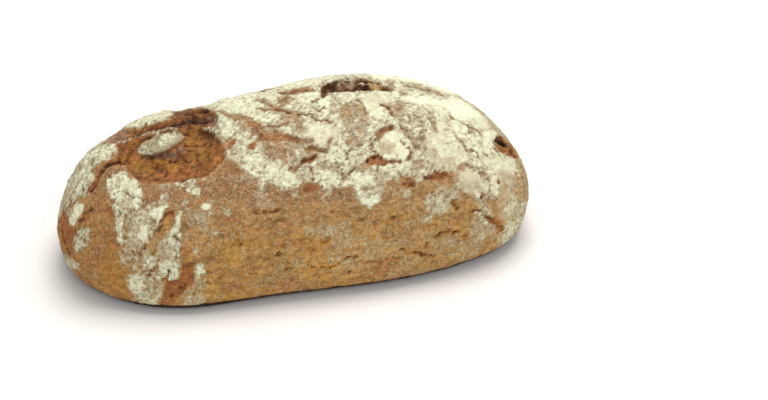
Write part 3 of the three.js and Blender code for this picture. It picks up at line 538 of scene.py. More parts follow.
# cracks: depth mm, radius mm, darkness, line
CRACKS = [
    (2.0, 2.3, 1.0, "262,91.2 272,88.6 285,85.8"), (1.8, 1.8, 0.9, "284,92.5 291,91 297,89"), (1.9, 1.6, 0.85, "277,92 287,94 295,92 300,90 311,89.5 321,91"),
    (1.6, 1.5, 0.75, "258,108.5 266,109.5 274,110 282,110.5"), (1.3, 1.2, 0.6, "323,96 317,100 312,102"), (1.3, 2.0, 0.4, "279,101 290,98"), (1.2, 1.8, 0.35, "255,100 262,101 268,104 276,107"),
    (1.7, 1.6, 0.75, "276,107 281,110 290,112 298,115 310,115 314,118 324,120 331,122"), (1.1, 1.1, 0.6, "319,111 325,107"),
    (1.2, 1.5, 0.5, "270,126 280,125 288,122"), (1.6, 2.2, 0.45, "276,131 284,134 292,137 300,140 311,141"),
    (1.5, 2.2, 0.45, "310,147 318,149 326,151"), (2.0, 1.5, 0.85, "302,161 310,160 316,157"), (1.2, 1.2, 0.55, "303,162 298,166 296,170"),
    (1.4, 1.5, 0.55, "322,150 328,145 331,139"), (2.0, 2.0, 0.55, "372,144 376,138 378,132.5 384,129 393,127.5"),
    (1.0, 0.9, 0.45, "371,145 374,150 378,156"), (2.2, 1.3, 0.9, "368,160 372,157.5 376,156.5 381,158.5"), (1.4, 0.9, 0.65, "381,158.5 388,161 395,161 401,161.5"),
    (1.5, 1.4, 0.7, "401,142 405,144 409,148 411,152 409,157"), (1.1, 1.0, 0.5, "409,157 406,160 402,161"), (0.9, 0.9, 0.4, "413,146 419,146"), (1.0, 0.9, 0.5, "345,153 355,150 362,144"),
    (1.2, 1.1, 0.6, "353,169 348,174 343,175"), (1.0, 0.9, 0.5, "311,168 312.5,174 312,179"), (1.8, 1.6, 0.95, "381,104.5 386,106.5 389.5,110 393,115"),
    (1.5, 1.8, 0.4, "403,83 411,86 420,88 432,90 443,95"), (1.2, 1.8, 0.3, "400,93 408,94"), (1.2, 1.1, 0.45, "431,106 439,106"),
    (1.2, 1.1, 0.45, "443,108 450,113"), (1.7, 1.6, 0.6, "450,114 453,119 458,120 463,123 470,127 476,130 482,135"),
    (1.3, 1.3, 0.45, "446,129 451,130 456,135 460,139 463,144 467,149 472,151 479,155"), (1.1, 1.0, 0.45, "482,151 488,157"),
    (1.2, 1.2, 0.4, "466,163 472,167 478,173 485,174 489,180"), (1.0, 1.0, 0.4, "372,119 380,122 388,120"), (0.9, 0.9, 0.4, "360,98 364,106 366,114"),
    (1.0, 1.0, 0.35, "414,112 420,118 424,128 422,140"), (0.9, 0.9, 0.35, "428,118 434,124 436,132"), (1.0, 0.9, 0.45, "400,126 406,130 410,138"),
    (1.4, 1.1, 0.6, "426,178 434,176 441,177 447,174"), (1.5, 1.4, 0.7, "404,183 409,182 413,185"),
    (3.2, 2.2, 1.0, "497.5,140.5 501,142.5 506,145.5 512,150.5"), (1.2, 1.0, 0.9, "497,137 503,138"), (1.5, 1.3, 0.6, "511,152 516,157"),
    (1.6, 1.3, 0.8, "451,201 454,206 458,209"), (1.3, 1.0, 0.65, "470,213 476,210 481,210"), (1.4, 1.3, 0.7, "481,193 482,197"),
    (1.0, 0.9, 0.8, "498,181 498.5,183"), (1.4, 1.2, 0.7, "515,172 517,176 519,179"), (1.5, 1.6, 0.55, "482,214 490,219 498,224 503,229"),
    (1.3, 1.0, 0.9, "437,237 441,234 446,232 450,231 453,233 459,232"), (1.4, 1.1, 0.95, "402,250 408,251 414,252 420,253 428,255 434,256"),
    (1.2, 1.1, 0.8, "426,246 428,242"), (1.2, 1.3, 0.55, "427,225 433,224 437,226"), (1.3, 1.4, 0.7, "392,218 394,219"), (1.0, 1.0, 0.6, "464,236 467,236"),
    (1.0, 0.9, 0.6, "386,259 392,258 398,259"), (1.0, 0.9, 0.6, "366,263 374,261 382,263"), (1.1, 0.9, 0.75, "345,258 352,256 358,257"), (1.1, 1.0, 0.65, "321,267 330,268 336,266 340,263"),
    (1.5, 1.5, 0.85, "322,243 325,242 328,240"), (1.2, 1.0, 0.8, "309,251 313,251"), (1.5, 1.3, 0.85, "308,264 311,265"), (1.5, 1.3, 0.9, "312,268 315,267"),
    (1.1, 1.0, 0.8, "347,273 350,272"), (1.2, 1.1, 0.75, "254,212 262,213 270,213 280,211"), (1.3, 1.3, 0.8, "264,261 268,259"), (1.2, 1.2, 0.7, "277,255 281,253"),
    (1.1, 1.1, 0.65, "241,245 243,244"), (1.5, 1.5, 0.8, "222,184 226,185"), (1.0, 1.0, 0.5, "204,285 208,283"), (1.0, 1.0, 0.5, "220,279 224,276"),
    (1.0, 1.0, 0.45, "244,228 250,226"), (0.9, 0.9, 0.45, "276,222 284,220"), (0.9, 0.9, 0.45, "232,246 240,240"), (0.9, 1.0, 0.5, "300,240 306,238"),
    (1.0, 1.0, 0.5, "287,270 292,267"), (0.9, 0.9, 0.45, "250,275 256,273"), (0.9, 0.9, 0.5, "370,238 376,236"), (0.9, 0.9, 0.45, "356,222 362,220"),
    # left end and the column
    (1.4, 1.2, 0.85, "103,143 101,147 98,152"), (1.3, 1.2, 0.7, "96,158 90,164"), (1.2, 1.2, 0.6, "82,188 83,192"), (1.2, 1.2, 0.65, "77,184 73,192 71,198 69,206"),
    (2.0, 1.7, 0.7, "78,224 81,218 85,213 90,209"), (3.0, 2.0, 1.0, "61,222 61.5,230 63,240 65,248 69,255"), (1.2, 1.1, 0.85, "74,257 77,260"),
    (1.2, 1.1, 0.6, "63,206 62,214"), (1.0, 1.0, 0.5, "86,236 84,244"), (1.1, 1.0, 0.55, "108,206 112,216"),
    (1.6, 2.2, 0.38, "136,142 131,147 127,154"), (2.6, 2.4, 0.80, "122,161 112,163 105,167 100,172 98,179 94,186 90,191"), (2.2, 1.2, 1.0, "104,165 110,162 118,160 123,160"), (1.6, 1.2, 0.95, "90,190 94,186"),
    (1.8, 1.6, 0.7, "158,230 163,226 160,222 165,216 172,211"), (1.2, 1.0, 0.8, "163,280 168,275 170,271"), (1.6, 1.2, 0.85, "180,289 184,287"), (1.4, 1.1, 0.8, "170,297 174,295"),
    (1.1, 0.9, 0.6, "140,250 146,246"), (1.0, 0.9, 0.6, "148,274 154,269"), (1.0, 0.9, 0.55, "134,252 140,256"), (1.0, 0.9, 0.5, "174,236 178,242"), (1.0, 0.9, 0.5, "126,192 132,198"),
    # in the crater
    (2.8, 2.6, 0.80, "150,127 158,125.5 166,124 174,123.5"), (3.0, 2.4, 1.0, "176,121.5 182,121 189,120.5 194,120.5"), (2.4, 2.2, 1.0, "198,122 202,121.5 206,121"),
    (1.6, 1.6, 0.9, "184,114 187,113 190,114"), (1.8, 2.2, 0.95, "197,110 202,110.5 207,112"), (1.2, 1.4, 0.6, "178,117 184,118 190,118"), (1.0, 1.4, 0.45, "122,133 130,132 140,131"),
    (1.6, 2.6, 0.50, "199,132 205,133 211,136"), (1.8, 1.3, 1.0, "170,161.5 174,160.5 176,159.5 181,158.5 185,159"), (1.6, 1.5, 0.9, "187,145 189,145"), (1.2, 1.3, 0.85, "184,133 188,133"),
    (1.3, 1.4, 0.6, "190,150 194,150"), (1.3, 1.4, 0.75, "196,154 200,155"), (1.2, 1.3, 0.5, "194,162 198,163"), (1.2, 1.5, 0.5, "153,166 156,169 160,170"), (1.2, 1.2, 0.6, "166,171 169,173"),
    (1.4, 1.4, 0.65, "140,156.5 146,158 154,157.5 162,156"), (1.4, 1.5, 0.45, "128,150 126,155 122,160"), (1.2, 1.4, 0.5, "131,144 136,141 142,139.5 150,138"), (1.0, 1.2, 0.6, "141,181 146,182 150,183"),
    (1.2, 1.2, 0.35, "205,150 207,158"), (1.1, 1.1, 0.35, "180,170 188,172"), (1.2, 1.2, 0.5, "160,132.5 168,131 178,131"), (1.3, 1.4, 0.5, "199,145 205,143"), (1.2, 1.2, 0.45, "212,146 215,152"),
    # crown pit
    (2.6, 3.2, 1.0, "324,89.5 328,87.5 334,85.5"), (2.0, 2.4, 0.8, "322,95 324,93 328,92"), (1.6, 1.6, 0.9, "330,89 336,87.5"), (1.6, 1.3, 0.8, "354,82 358,83.5"), (2.2, 1.8, 1.0, "357,87.5 362,88 368,88.5"), (1.8, 1.3, 0.95, "340,90.5 346,90 352,90 358,90 366,91"),
    (1.8, 1.4, 0.9, "379,87 383,87.5 388,88"), (1.2, 1.2, 0.7, "389,88.5 393,89"), (1.4, 1.0, 0.6, "333,83 338,80.5"), (1.4, 1.0, 0.8, "358,79 364,80 372,82 378,84"), (1.4, 1.3, 0.6, "321,92 322,97"), (1.0, 1.0, 0.7, "344,86 350,84"), (1.0, 1.0, 0.6, "346,82 350,81"),
]
# DARK: dark brown crust colour in the cracks and furrows, together with painted shade inside them, darker for the
# deeper ones
CRK = np.zeros(len(PB)); DARK = np.zeros(len(PB))
MARGIN = np.zeros(len(PB))
BROKEN = np.clip(0.90 + 0.75 * fbm(PB, 4.6, 2, 0.6, 48), 0.25, 1.25)       # no crack is the same depth all along
for dep, r, dk, line in CRACKS:
    r = max(0.62 * r, 0.80) if r < 2.2 else 0.85 * r
    m = stroke(line, r, 0.8)
    CRK = np.maximum(CRK, 0.75 * dep * m * BROKEN)
    DARK = np.maximum(DARK, (dk * 1.25 - 0.25) * (1.0 if dep > 2 else 0.82) * stroke(line, r * 0.95, 0.7) * np.clip(BROKEN, 0.3, 1.1))
    MARGIN = np.maximum(MARGIN, stroke(line, r * 1.6, 0.8) * dk)
for path, width, dep in BACK_FURROWS:
    m = 1 - ramp(0.15, 1.0, to_path(PB, path, 12) / width)
    CRK = np.maximum(CRK, dep * m); DARK = np.maximum(DARK, 0.6 * (1 - ramp(0.05, 0.5, to_path(PB, path, 12) / width + 0.2 * RAG2)))
    RED = np.maximum(RED, (1 - ramp(0.5, 1.0, to_path(PB, path, 12) / width + 0.25 * RAG1)))
    lay(FL, 1 - ramp(0.5, 1.05, to_path(PB, path, 12) / width + 0.25 * RAG1), 0.03)

# cracks of the same kind wander over the side turned away
_w = np.random.RandomState(7)
_hidden = np.flatnonzero((FACE < -0.12) & (Z > 12))
_taken = np.zeros((0, 3))
for k in range(120):
    at = PB[_w.choice(_hidden)].copy(); a = _w.uniform(-0.35, 0.35) + (math.pi if _w.rand() < 0.5 else 0)
    if len(_taken) > 150 or (len(_taken) and np.linalg.norm(_taken - at, axis=1).min() < 20):
        continue
    path = [at]
    for _ in range(_w.randint(2, 6)):
        v = np.argmin(((PB - path[-1]) ** 2).sum(1))
        n = NB[v]; e1 = np.cross([0, 0, 1.0], n); e1 /= np.linalg.norm(e1) + 1e-9; e2 = np.cross(n, e1)
        a += _w.normal() * 0.35
        path.append(PB[v] + (math.cos(a) * e1 + math.sin(a) * e2) * _w.uniform(3.5, 6.5))
    _taken = np.concatenate([_taken, np.array(path)])
    size = _w.uniform(0.8, 1.3); d = to_path(WANDER, path, 7) + size * (0.35 * RAG1 + 0.4 * RAG2)
    away = 1 - ramp(-0.12, 0.0, FACE)
    CRK = np.maximum(CRK, size * away * (1 - ramp(0.35 * size, 1.15 * size, d)) * BROKEN)
    DARK = np.maximum(DARK, _w.uniform(0.25, 0.62) * away * (1 - ramp(0.3 * size, 1.0 * size, d)) * np.clip(BROKEN, 0.2, 1.1))

# ================================================================== fine relief
streak = PB * np.array([0.38, 1.0, 1.0])
thick = ramp(0.25, 0.95, FL)                                   # where flour lies thick
SIDE = (1 - ramp(52, 80, Z)) * (1 - thick)
warp = np.stack([fbm(PB, 9, 2, 0.5, s) for s in (70, 73, 76)], -1) * 2.2
d1, d2, cell = worley(PB + warp, 9.5, 3)
plate_gap = 1 - ramp(0.02, 0.16, d2 - d1)                       # between flaky plates
plate_up = (_JIT[cell, 0] - 0.5)
e1, e2, cell2 = worley(PB + warp * 0.6 + 31, 4.2, 5)
flake_gap = 1 - ramp(0.02, 0.20, e2 - e1)
flake_up = (_JIT[cell2, 1] - 0.5)
crack_n = np.abs(fbm(PB + warp, 15, 3, 0.55, 80))
crackle = (1 - ramp(0.0, 0.055, crack_n)) * ramp(0.0, 0.25, fbm(PB, 22, 2, 0.5, 84))
crack_s = np.abs(fbm(streak + warp * 0.5, 10, 3, 0.55, 86))
crackle_side = (1 - ramp(0.0, 0.05, crack_s)) * ramp(0.10, 0.35, fbm(PB, 18, 2, 0.5, 88))

def slanting(height, seed):
    a = math.radians(33); u = X * math.cos(a) + height * math.sin(a); v = -X * math.sin(a) + height * math.cos(a)
    q = np.stack([u / 3.0, v, 0.15 * (Y - Z)], -1) + 0.5 * warp
    return 1 - ramp(0.0, 0.085, np.abs(fbm(q, 3.3, 2, 0.6, seed)))


at_back = ramp(-0.1, 0.3, NB[:, 1])
slits = (slanting(Z + 0.9 * Y, 141) * (1 - at_back) + slanting(Z - 0.9 * Y, 143) * at_back) * ramp(-0.05, 0.3, fbm(PB, 11, 2, 0.6, 145))

small = 0.55 * fbm(PB, 15, 2, 0.5, 90) + 0.28 * fbm(PB, 6.5, 2, 0.5, 92) + 0.16 * fbm(PB, 2.6, 2, 0.6, 94)
small += thick * (1 - 0.5 * ramp(1.05, 1.2, FL)) * (1.12 - 0.62 * EVEN) * (0.65 * plate_up + 0.40 * flake_up - 0.60 * plate_gap - 0.30 * flake_gap + 0.45 * np.clip(FL, 0, 1.2) + 0.30 * fbm(PB, 4.2, 2, 0.6, 97))
small -= 0.55 * crackle * (0.35 + 0.65 * thick)
small -= 0.38 * slits * (0.25 + 0.75 * thick) * (1 - 0.6 * ramp(1.02, 1.2, FL))
small -= 0.30 * crackle_side * SIDE
pores = ramp(0.42, 0.75, perlin(streak / 2.1, 96)) * SIDE
small -= 0.45 * pores
small += SIDE * (0.22 * fbm(streak, 3.4, 2, 0.6, 98) + 0.13 * fbm(PB, 1.9, 1, 0.6, 99))
small -= CRK

# torn crumb in the crater: pulled strands, pits and a ledge of old skin round it
tear = 1 - np.abs(fbm(PB * np.array([0.8, 1.0, 1.0]), 6.5, 3, 0.6, 100))
bare_floor = CRATER * (1 - ISLAND)
hole = ramp(0.22, 0.60, perlin(PB / 3.6, 104))
small += bare_floor * (0.5 * (tear - 0.75) - 0.9 * hole + 0.55 * fbm(PB, 3.4, 2, 0.7, 108))
small -= 1.3 * CRATER
small += 2.0 * area("120,134 126,128 136,121 150,115 160,111 168,108 171,111 164,117 154,124 140,128 130,132", 3.0, 0.4)
small -= 1.5 * area("192,104 200,99 214,99 218,105 209,111 198,112 193,110", 3.0, 0.4)
small += 0.8 * ISLAND * (1 + 0.5 * plate_up)
small += 0.9 * RIDGE
small -= PITMASK * (1.2 + 1.2 * ramp(0.0, 0.6, perlin(PB / 3.6, 106)))
small -= 0.5 * RED
height = small * ramp(1.0, 12, Z) + 0.35 * (small + CRK) * (1 - ramp(1.0, 12, Z)) * ramp(0.2, 1.5, Z)

P1 = PB + NB * height[:, None]
P1[:, 2] = np.where(EDGE.reshape(-1), 0, np.maximum(P1[:, 2], 0.05))
N1 = normals(P1)
HOLLOW = np.clip((soften(height, 5) - height) / 0.45, -1.5, 2.0)   # above 0 in grooves, below 0 on crests

# flour follows the relief: it stays on plates and crests and is missing from gaps
calm = (1 - 0.62 * ramp(1.02, 1.2, FL)) * (1 - 0.7 * EVEN)
mid_n = 0.20 * (1 - 0.6 * SEEN) * fbm(PB, 8.5, 2, 0.55, 110) + 0.17 * fbm(PB, 3.4, 2, 0.6, 112) + 0.12 * fbm(PB, 1.7, 1, 0.6, 115)
flour = FL + calm * mid_n * ramp(0.05, 0.35, FL) * (1.25 - 0.5 * ramp(0.7, 1.1, FL))
flour -= calm * (0.24 * plate_gap * thick * (0.6 + 0.6 * fbm(PB, 18, 1, 0.5, 117)) + 0.10 * flake_gap * thick)
flour -= 0.30 * calm * slits * (0.3 + 0.7 * thick)
flour -= 0.30 * crackle * (1 - 0.5 * ramp(0.95, 1.15, FL))
flour -= 0.16 * np.clip(HOLLOW, 0, 1.2)
flour += 0.05 * np.clip(-HOLLOW, 0, 1.0)
flour -= 0.75 * DARK * ramp(0.1, 0.6, CRK) + 0.42 * MARGIN
flour += SIDE * (0.11 * fbm(PB, 13, 2, 0.6, 119) + 0.06 * fbm(PB, 4.5, 2, 0.6, 151))
flour += 0.16 * (1 - 0.7 * SEEN) * ramp(0.3, 0.8, FL) * (1 - 0.6 * ramp(1.0, 1.2, FL)) * fbm(PB, 13, 2, 0.6, 121)

# bare crust colours (linear)
def mixc(a, b, t):
    return a + (b - a) * np.asarray(t)[:, None]

GREYED = np.array([0.31, 0.19, 0.104])
TAN, GOLD, BROWN, REDDISH = np.array([0.42, 0.214, 0.054]), np.array([0.43, 0.216, 0.038]), np.array([0.31, 0.156, 0.058]), np.array([0.31, 0.105, 0.026])
CRUMB, CRUMB_GOLD, DEEP, PINK = np.array([0.25, 0.086, 0.017]), np.array([0.33, 0.138, 0.018]), np.array([0.055, 0.016, 0.005]), np.array([0.36, 0.20, 0.12])
n_hue = fbm(PB, 30, 2, 0.5, 120); n_hue2 = fbm(streak, 9, 3, 0.55, 123)
skin = mixc(np.tile(TAN, (len(PB), 1)), GOLD, ramp(-0.2, 0.5, n_hue) * (1 - ramp(35, 70, Z)))
skin = mixc(skin, BROWN, ramp(45, 78, Z))
skin = mixc(skin, REDDISH, 0.55 * ramp(0.1, 0.6, n_hue2))
skin = mixc(skin, GREYED, 0.62 * ramp(0.14, 0.5, FL) * ramp(30, 62, Z) * (1 - RED))
skin = mixc(skin, REDDISH, RED * 0.9)
skin = mixc(skin, np.array([0.27, 0.20, 0.11]), 0.85 * ISLAND)
skin = mixc(skin, CRUMB, bare_floor)
skin = mixc(skin, CRUMB_GOLD, 0.7 * bare_floor * ramp(0.0, 0.6, fbm(PB, 8, 2, 0.5, 126)))
# crust colour patches; among them painted shade: the darkened crumb, the dark brown and the DEEP patches along the
# crater's back wall and far rim, the grey brown under the island's lower right (the island's shadow) and the DEEP patch
# over the crown pit; the others are the crust's own colours
for o, c, s in [("166,162 172,163 181,162 183,166 176,169 168,168", CRUMB_GOLD * 1.25, 1.5), ("131,160 140,159 150,161 152,170 146,176 138,172", CRUMB_GOLD * 1.0, 2.5), ("184,132 196,128 206,142 210,154 202,160 194,158 186,144", CRUMB_GOLD * 0.92, 3),
                ("150,170 164,172 180,172 196,170 208,162 220,150 222,160 212,170 196,177 176,180 158,180", REDDISH * 1.05, 2.5), ("176,112 196,110 198,118 180,118", CRUMB * 0.85, 2), ("172,111 182,108 194,107 190,112 178,115", np.array([0.16, 0.075, 0.035]), 1.5), ("206,114 216,114 218,121 211,126 204,124", PINK * 0.6, 2), ("197,130 203,129 209,131 213,135 214,140 209,141 204,138 199,135", DEEP * 2.8, 1.5),
                ("128,137 140,131 150,128 158,125 168,122 178,119 196,118 207,119 205,126 190,126 178,127.5 166,130 150,132 138,136", DEEP * 2.4, 2), ("194,108 206,108 212,112 206,116 195,114", DEEP * 1.8, 1.5),
                ("150,157 160,154 170,152 178,148 183,141 186,144 183,151 176,156 164,158 152,160 142,159", np.array([0.16, 0.085, 0.055]), 1.5),
                ("321,93 324,86 330,82 338,79 346,77 356,77 366,80 376,83 386,87 393,89 386,91 364,92 344,92 328,95", DEEP * 1.5, 1.3),
                ("369,84 375,83.5 381,86 378,89 370,88.5", np.array([0.80, 0.50, 0.14]), 1.0), ("336,84 344,82 354,83 354,88 340,89", np.array([0.27, 0.18, 0.11]), 1.2), ("165,216 169,216 169,228 164,228", GOLD * 1.15, 1.5),
                ("106,142 112,135 124,131 130,132 122,140 112,143", PINK * 0.95, 2)]:
    skin = mixc(skin, c, 0.85 * area(o, s))
skin = mixc(skin, REDDISH * 1.15, 0.30 * (1 - ramp(110, 165, PX[:, 0])) * (1 - ramp(45, 70, Z)) * SEEN)
skin = skin * (1 + 0.21 * fbm(streak, 5, 2, 0.6, 128) + 0.10 * fbm(PB, 11, 2, 0.6, 161) + 0.07 * n_hue)[:, None]
# tone varying on the crater floor and the side; the hole term is painted shade, darkening the crust in the crater
# floor's holes
skin = skin * (1 + bare_floor * (0.42 * fbm(PB, 3.0, 2, 0.7, 153) - 0.35 * hole) + SIDE * 0.10 * fbm(PB, 2.0, 1, 0.6, 155))[:, None]
# painted shade and highlight: the bare crust is darker in grooves and lighter on crests
skin = skin * (1 - 0.28 * np.clip(HOLLOW, -0.6, 1.5))[:, None]
skin = skin * (1 + 0.07 * area("300,246 340,238 400,236 420,244 412,262 370,272 320,276 290,268", 9.0) + 0.05 * area("205,262 240,250 262,258 258,280 215,284", 8.0))[:, None]
# dark: dark marks in cracks, pores, slits and crackle, which are also cut into the relief, partly painted shade in
# them; the Z term is a painted contact shadow, near-black along the base up to about 6 to 7 mm above the floor and gone
# by about 8 mm; the hole and PITMASK terms are painted shade in the crater floor's holes and in the crown pit
dark = np.clip(DARK + 0.22 * pores + 0.20 * crackle_side * SIDE + 0.18 * crackle * (1 - 0.4 * thick) + 0.22 * slits * thick + 1.2 * (1 - ramp(6.2, 8.2, Z + 0.5 * RAG1 + 0.4 * RAG2))
               + bare_floor * 0.40 * hole + PITMASK * 0.55 * ramp(-0.1, 0.5, perlin(PB / 3.6, 106)), 0, 1)
# painted shade: dark bands along the crater's back wall, under its far rim, and at its right-hand back
for v, o in [(0.95, "168,123 176,119.5 184,117 192,115.5 200,115.5 207,117.5 208,121 200,122.8 190,123 180,124 170,125.5"), (0.60, "146,128.5 158,125 170,122 171,125.5 160,128.5 148,131"),
             (0.80, "190,109.5 199,109.5 207,111 212,113.5 206,114.5 198,113.5 190,113"), (0.65, "203,117 212,116 215,120 210,124 204,123"), (0.45, "170,112 182,110.5 190,111 188,115 176,116"),
             (0.50, "198,130 204,130 210,133 213,137 210,139 204,137 199,134")]:
    dark = np.maximum(dark, v * area(o, 1.6, 0.7) * np.clip(0.95 + 0.6 * fbm(PB, 3.0, 2, 0.6, 159), 0.3, 1.1))
soft_shade = np.clip(bare_floor + PITMASK, 0, 1)

# ------------------------------------------------------------------ mesh
ids = np.arange(GRID[0] * GRID[1]).reshape(GRID)
quads = np.stack([ids[:-1, :-1], ids[1:, :-1], ids[1:, 1:], ids[:-1, 1:]], -1).reshape(-1, 4)
ring = np.concatenate([ids[:-1, 0], ids[-1, :-1], ids[:0:-1, -1], ids[0, :0:-1]])
rim = P1[ring]
mid = rim.mean(0)
verts = [P1]; tris = []; quads_b = []
count = len(P1); outer = ring; step = 1
plan = [0.98, 0.95, 0.91, 0.86, 0.80, 0.74, 0.68, 0.61, 0.54, 0.46, 0.38, 0.30, 0.22, 0.14, 0.07]
halve = {0, 2, 6, 11}
for k, f in enumerate(plan):
    halved = k in halve and len(outer) % 2 == 0
    if halved:
        step *= 2
    sel = rim[::step]
    q = mid + (sel - mid) * f
    q[:, 2] = np.minimum(0.05 + 1.2 * (1 - f), 0.5) * (0.6 + 0.4 * fbm(q, 16, 2, 0.5, 130))
    verts.append(q)
    inner = np.arange(count, count + len(sel)); count += len(sel)
    nxt = np.roll(inner, -1)
    if halved:
        o0, o1, o2 = outer[0::2], outer[1::2], np.roll(outer[0::2], -1)
        tris += [np.stack([o1, o0, inner], 1), np.stack([o1, inner, nxt], 1), np.stack([o2, o1, nxt], 1)]
    else:
        quads_b.append(np.stack([np.roll(outer, -1), outer, inner, nxt], 1))
    outer = inner
verts.append(mid[None] + np.array([[0, 0, 0.4]]))
tris.append(np.stack([np.roll(outer, -1), outer, np.full(len(outer), count)], 1)); count += 1
V = np.concatenate(verts) - CENTRE
under = V[len(P1):]
QUAD_B = np.concatenate(quads_b); TRI = np.concatenate(tris)
print("verts", len(V), "triangles", 2 * (len(quads) + len(QUAD_B)) + len(TRI))


def extend(v, low_value):
    return np.concatenate([v, low_value])


un = under + CENTRE
flour_a = extend(flour, 0.30 + 0.3 * fbm(un, 14, 3, 0.55, 133))
dark_a = extend(dark, np.clip(0.25 * ramp(0.1, 0.6, fbm(un, 9, 2, 0.5, 136)), 0, 1))
skin_a = np.concatenate([skin, TAN * 0.72 * (1 + 0.15 * fbm(un, 10, 3, 0.5, 138))[:, None]])
crumb_a = extend(soft_shade, np.zeros(len(un)))
even_a = extend(EVEN, np.zeros(len(un)))

me = bpy.data.meshes.new("crust")
me.vertices.add(len(V)); me.vertices.foreach_set("co", (V / 1000).astype(np.float32).ravel())
loops = np.concatenate([quads.ravel(), QUAD_B.ravel(), TRI.ravel()])
me.loops.add(len(loops)); me.loops.foreach_set("vertex_index", loops.astype(np.int32))
nq = len(quads) + len(QUAD_B)
start = np.concatenate([np.arange(nq) * 4, nq * 4 + np.arange(len(TRI)) * 3])
me.polygons.add(len(start)); me.polygons.foreach_set("loop_start", start.astype(np.int32))
me.update(calc_edges=True); me.validate()
me.polygons.foreach_set("use_smooth", np.ones(len(start), bool))
gi, gj = np.meshgrid(np.linspace(0.004, 0.996, GRID[0]), np.linspace(0.004, 0.716, GRID[1]), indexing="ij")
uv_top = np.stack([gi.ravel(), gj.ravel()], -1)
uv_low = np.stack([0.30 + V[:, 0] * 0.00165, 0.858 + V[:, 1] * 0.00165], -1)
uv = np.where((np.arange(len(loops)) < 4 * len(quads))[:, None], uv_top[np.minimum(loops, len(P1) - 1)], uv_low[loops])
layer = me.uv_layers.new(name="OFBake")
layer.data.foreach_set("uv", uv.astype(np.float32).ravel())
for name, data in (("flour", flour_a), ("dark", dark_a), ("crumb", crumb_a), ("even", even_a)):
    me.attributes.new(name, "FLOAT", "POINT").data.foreach_set("value", data.astype(np.float32))
rgba = np.concatenate([np.clip(skin_a, 0, 1), np.ones((len(V), 1))], 1)
me.attributes.new("skin", "FLOAT_COLOR", "POINT").data.foreach_set("color", rgba.astype(np.float32).ravel())
crust = bpy.data.objects.new("crust", me)
bpy.context.scene.collection.objects.link(crust)

# ------------------------------------------------------------------ crust material
mat = bpy.data.materials.new("rye_crust"); mat.use_nodes = True
nt = mat.node_tree; bsdf = nt.nodes["Principled BSDF"]
coord = nt.nodes.new("ShaderNodeTexCoord")


def attribute(name):
    n = nt.nodes.new("ShaderNodeAttribute"); n.attribute_name = name
    return n


def link(a, b):
    nt.links.new(a, b)


def math_node(op, a, b=None, clamp=False):
    n = nt.nodes.new("ShaderNodeMath"); n.operation = op; n.use_clamp = clamp
    for k, v in enumerate((a, b)):
        if v is None:
            continue
        if isinstance(v, (int, float)):
            n.inputs[k].default_value = v
        else:
            link(v, n.inputs[k])
    return n.outputs[0]


def noise(scale, detail=2.0, rough=0.55, stretch=(1, 1, 1)):
    mp = nt.nodes.new("ShaderNodeMapping"); mp.inputs["Scale"].default_value = stretch
    link(coord.outputs["Object"], mp.inputs["Vector"])
    n = nt.nodes.new("ShaderNodeTexNoise"); n.inputs["Scale"].default_value = scale
    n.inputs["Detail"].default_value = detail; n.inputs["Roughness"].default_value = rough
    link(mp.outputs["Vector"], n.inputs["Vector"])
    return n.outputs["Fac"]


def dashes(scale, tilt, long, width):
    """1 on thin short lines that lean down towards +X."""
    mp = nt.nodes.new("ShaderNodeMapping"); mp.vector_type = "TEXTURE"
    mp.inputs["Scale"].default_value = (long, 1, 1); mp.inputs["Rotation"].default_value = (0, math.radians(tilt), 0)
    link(coord.outputs["Object"], mp.inputs["Vector"])
    n = nt.nodes.new("ShaderNodeTexNoise"); n.inputs["Scale"].default_value = scale
    n.inputs["Detail"].default_value = 3.0; n.inputs["Roughness"].default_value = 0.6
    link(mp.outputs["Vector"], n.inputs["Vector"])
    off = math_node("ABSOLUTE", math_node("SUBTRACT", n.outputs["Fac"], 0.5))
    return map_range(off, 0.0, width, 1.0, 0.0)


def map_range(v, a, b, c=0.0, d=1.0, kind="SMOOTHSTEP"):
    n = nt.nodes.new("ShaderNodeMapRange"); n.interpolation_type = kind
    link(v, n.inputs["Value"])
    for name, x in (("From Min", a), ("From Max", b), ("To Min", c), ("To Max", d)):
        n.inputs[name].default_value = x
    return n.outputs["Result"]


def mix_color(fac, a, b):
    n = nt.nodes.new("ShaderNodeMix"); n.data_type = "RGBA"
    for sock, v in ((n.inputs[0], fac), (n.inputs[6], a), (n.inputs[7], b)):
        if isinstance(v, (int, float)):
            sock.default_value = v
        elif isinstance(v, tuple):
            sock.default_value = v + (1,)
        else:
            link(v, sock)
    return n.outputs[2]


def scale_color(color, fac):
    n = nt.nodes.new("ShaderNodeVectorMath"); n.operation = "SCALE"
    link(color, n.inputs[0]); link(fac, n.inputs[3])
    return n.outputs[0]


a_flour, a_dark, a_crumb, a_skin = attribute("flour").outputs["Fac"], attribute("dark").outputs["Fac"], attribute("crumb").outputs["Fac"], attribute("skin").outputs["Color"]
a_even = attribute("even").outputs["Fac"]
grain = noise(400, 3, 0.60)
fine = noise(1050, 2, 0.6)
speck = noise(640, 2, 0.55)
pits = noise(640, 2, 0.5, (0.6, 1, 1))
streaks = noise(330, 4, 0.65, (0.5, 1, 1))
wobble = math_node("ADD", math_node("MULTIPLY", math_node("SUBTRACT", grain, 0.5), 1.15), math_node("MULTIPLY", math_node("SUBTRACT", fine, 0.5), 0.85))
wobble = math_node("MULTIPLY", wobble, map_range(a_flour, 0.55, 1.15, 1.0, 0.65))
wobble = math_node("MULTIPLY", wobble, map_range(a_even, 0.0, 1.0, 1.32, 0.36))
cover = map_range(math_node("ADD", a_flour, wobble), 0.02, 1.02)
dust = map_range(speck, 0.53, 0.68, 0.0, 0.50)                     # single pale grains on bare crust
dust = math_node("MULTIPLY", dust, map_range(a_crumb, 0.0, 0.7, 1.0, 0.15))
